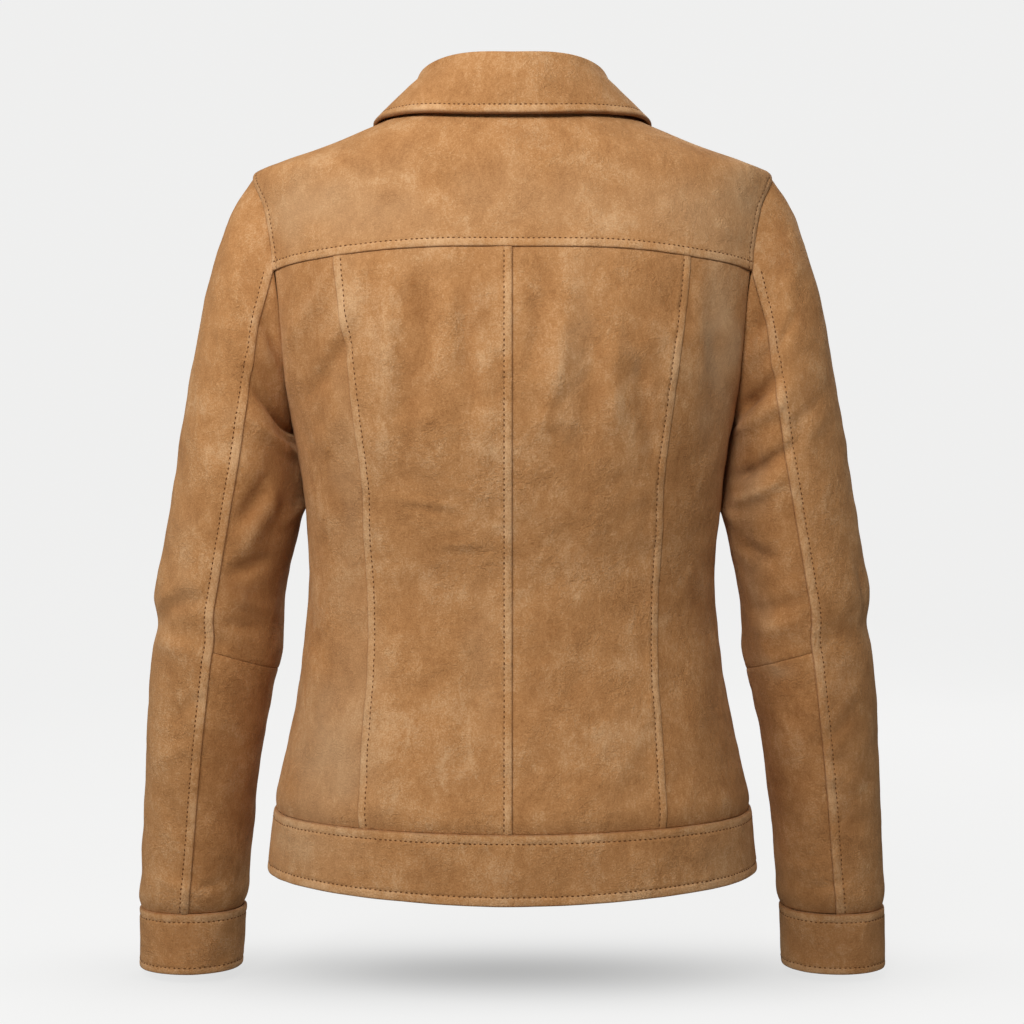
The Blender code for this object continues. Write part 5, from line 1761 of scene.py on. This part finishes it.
def make_button(name, height, lift, material):
    """A plain domed snap cap with a rolled rim, standing on the upper front."""
    angle, level = map_point(0.0, height, False)
    normal = body_normal(angle, level)
    seat = body_point(angle, level) + (lift + BUTTON_SEAT_GAP) * normal
    side = np.array([1.0, 0.0, 0.0])
    up = np.cross(normal, side)
    turns = np.linspace(0, 2 * math.pi, CAP_SIDES, endpoint=False)
    spokes = np.cos(turns)[:, None] * side + np.sin(turns)[:, None] * up
    rings = [seat + out * normal + share * BUTTON_RADIUS * spokes for share, out in CAP_OUTLINE[1:]]
    mesh = bpy.data.meshes.new(name + "_cap")
    work = bmesh.new()
    top = work.verts.new(Vector((seat + CAP_OUTLINE[0][1] * normal) * MM))
    foot = work.verts.new(Vector(seat * MM))
    loops = [[work.verts.new(Vector(point * MM)) for point in ring_points] for ring_points in rings]
    for number in range(CAP_SIDES):
        after = (number + 1) % CAP_SIDES
        work.faces.new((top, loops[0][number], loops[0][after]))
        work.faces.new((foot, loops[-1][after], loops[-1][number]))
        for upper, lower in zip(loops[:-1], loops[1:]):
            work.faces.new((upper[number], lower[number], lower[after], upper[after]))
    bmesh.ops.recalc_face_normals(work, faces=work.faces)
    work.to_mesh(mesh)
    work.free()
    mesh.shade_smooth()
    mesh.materials.append(material)
    item = bpy.data.objects.new(name + "_cap", mesh)
    bpy.context.scene.collection.objects.link(item)
    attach(item, "root")
    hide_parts(name)


# ---------------------------------------------------------------- studio

def seen_or_not(add, unseen, seen):
    """One strength for the light that falls on the cloth, and another for what the camera sees."""
    camera_ray = add("ShaderNodeLightPath").outputs["Is Camera Ray"]
    return add("ShaderNodeMix", {0: camera_ray, 2: unseen, 3: seen}).outputs[0]


def make_paper():
    """Pale paper that glows, with a soft shade under the jacket."""
    material, shader, add, place = new_material("studio_paper")
    x, y, half_x, half_y, depth = STAGE_SHADE
    spot = add("ShaderNodeMapping", {
        "Vector": place,
        "Location": (-x / half_x, -y / half_y, 0),
        "Scale": (1 / half_x, 1 / half_y, 0),
    }).outputs["Vector"]
    away = add("ShaderNodeVectorMath", {0: spot}, operation="LENGTH").outputs["Value"]
    squared = maths(add, "POWER", away, 2.0)
    fall = maths(add, "POWER", math.e, maths(add, "MULTIPLY", squared, -1.0))
    shaded = STAGE_SEEN_GLOW * (1 - depth)
    glow = add("ShaderNodeMapRange", {"Value": fall, "To Min": STAGE_SEEN_GLOW, "To Max": shaded})
    set_inputs(shader, {
        "Base Color": colour_ramp(add, noise(add, place, PAPER_GRAIN), PAPER_TONES),
        "Roughness": 1.0,
        "Specular IOR Level": 0.0,
        "Emission Color": (*STAGE_TINT, 1),
        "Emission Strength": seen_or_not(add, STAGE_GLOW, glow.outputs["Result"]),
    })
    return material


def make_floor():
    """Floor that curves up into a backdrop on the jacket's front side."""
    floor = FLOOR_HEIGHT * MM
    turn = np.linspace(0, math.pi / 2, STAGE_CURVE_STEPS)
    ys = [STAGE_NEAR, *(-STAGE_FAR - STAGE_CURVE * np.sin(turn)), -STAGE_FAR - STAGE_CURVE]
    zs = [floor, *(floor + STAGE_CURVE * (1 - np.cos(turn))), floor + STAGE_TOP]
    points = []
    for y, z in zip(ys, zs):
        points.extend([(-STAGE_HALF_WIDTH, y, z), (STAGE_HALF_WIDTH, y, z)])
    faces = [(2 * n, 2 * n + 1, 2 * n + 3, 2 * n + 2) for n in range(len(ys) - 1)]
    mesh = bpy.data.meshes.new("stage")
    mesh.from_pydata(points, [], faces)
    mesh.shade_smooth()
    mesh.materials.append(make_paper())
    stage = bpy.data.objects.new("stage", mesh)
    bpy.context.scene.collection.objects.link(stage)


# Soft boxes: name, place, point it faces, width, height, watts and colour
LIGHTS = (
    ("key", (0.35, 1.6, 0.9), (0.0, 0.05, -0.2), 0.6, 0.6, 25, (1.0, 0.99, 0.97)),
    ("side", (1.35, 0.95, 0.75), (0.0, 0.05, -0.2), 0.5, 0.5, 15, (1.0, 0.99, 0.97)),
    ("top", (-0.2, 0.1, 1.5), (0.0, 0.0, -0.6), 1.6, 1.6, 2, (1.0, 1.0, 1.0)),
    ("right", (-1.0, 0.9, 1.1), (-0.15, 0.05, -0.1), 0.5, 0.5, 5, (1.0, 0.99, 0.97)),
    ("front", (-0.8, -2.0, 0.8), (0.0, 0.0, -0.3), 1.2, 1.2, 22, (1.0, 0.99, 0.97)),
)


def aim(item, target):
    way = Vector(target) - item.location
    item.rotation_euler = way.to_track_quat("-Z", "Y").to_euler()


def make_lights():
    for name, place, target, width, height, watts, colour in LIGHTS:
        light = bpy.data.lights.new(name, "AREA")
        light.shape = "RECTANGLE"
        light.size = width
        light.size_y = height
        light.energy = watts
        light.color = colour
        item = bpy.data.objects.new(name, light)
        item.location = place
        aim(item, target)
        bpy.context.scene.collection.objects.link(item)
    world = bpy.data.worlds.new("studio")
    world.use_nodes = True
    background = world.node_tree.nodes["Background"]
    set_inputs(background, {
        "Color": (1.0, 1.0, 1.0, 1),
        "Strength": seen_or_not(node_tool(world), WORLD_STRENGTH, STAGE_SEEN_GLOW),
    })
    bpy.context.scene.world = world


def make_camera():
    """Level camera behind the jacket, with the photograph's frame."""
    camera = bpy.data.cameras.new("camera")
    camera.sensor_width = SENSOR
    camera.lens = SENSOR * CAMERA_BACK / (MM_PER_PIXEL * PHOTO_SIDE)
    item = bpy.data.objects.new("camera", camera)
    middle = PHOTO_SIDE / 2
    item.location = ((PHOTO_CENTRE - middle) * MM_PER_PIXEL * MM, CAMERA_BACK * MM, CAMERA_HEIGHT * MM)
    item.rotation_euler = (math.pi / 2, 0, math.pi)
    bpy.context.scene.collection.objects.link(item)
    bpy.context.scene.camera = item


def main():
    outside = make_suede("suede")
    # Darker copy of the suede: painted shade for the side backs and under sleeves
    shaded_suede = make_suede("suede_deeper")
    flesh = make_suede("flesh_side")
    thread = make_thread()
    brass = make_brass()
    tan = {"outside": outside, "inside": flesh, "thread": thread, "slot": "suede_tan"}
    deep = {"outside": shaded_suede, "inside": flesh, "thread": thread, "slot": "suede_deep"}
    make_camera()
    make_back(tan, deep)
    make_fronts(tan)
    make_waistband(tan)
    make_sleeve("_left", LEFT_SLEEVE, tan, deep)
    make_sleeve("_right", RIGHT_SLEEVE, tan, deep)
    make_collar(tan)
    for number, height in enumerate(BUTTON_HEIGHTS, start=1):
        make_button(f"button_{number}", height, FRONT_LIFT, brass)
    band_lift_here = BAND_LIFT + DOUBLED_THICKNESS - SUEDE_THICKNESS
    make_button("button_waistband", BAND_BUTTON_HEIGHT, band_lift_here, brass)
    make_floor()
    make_lights()
    bpy.context.scene.view_settings.view_transform = "Standard"


main()
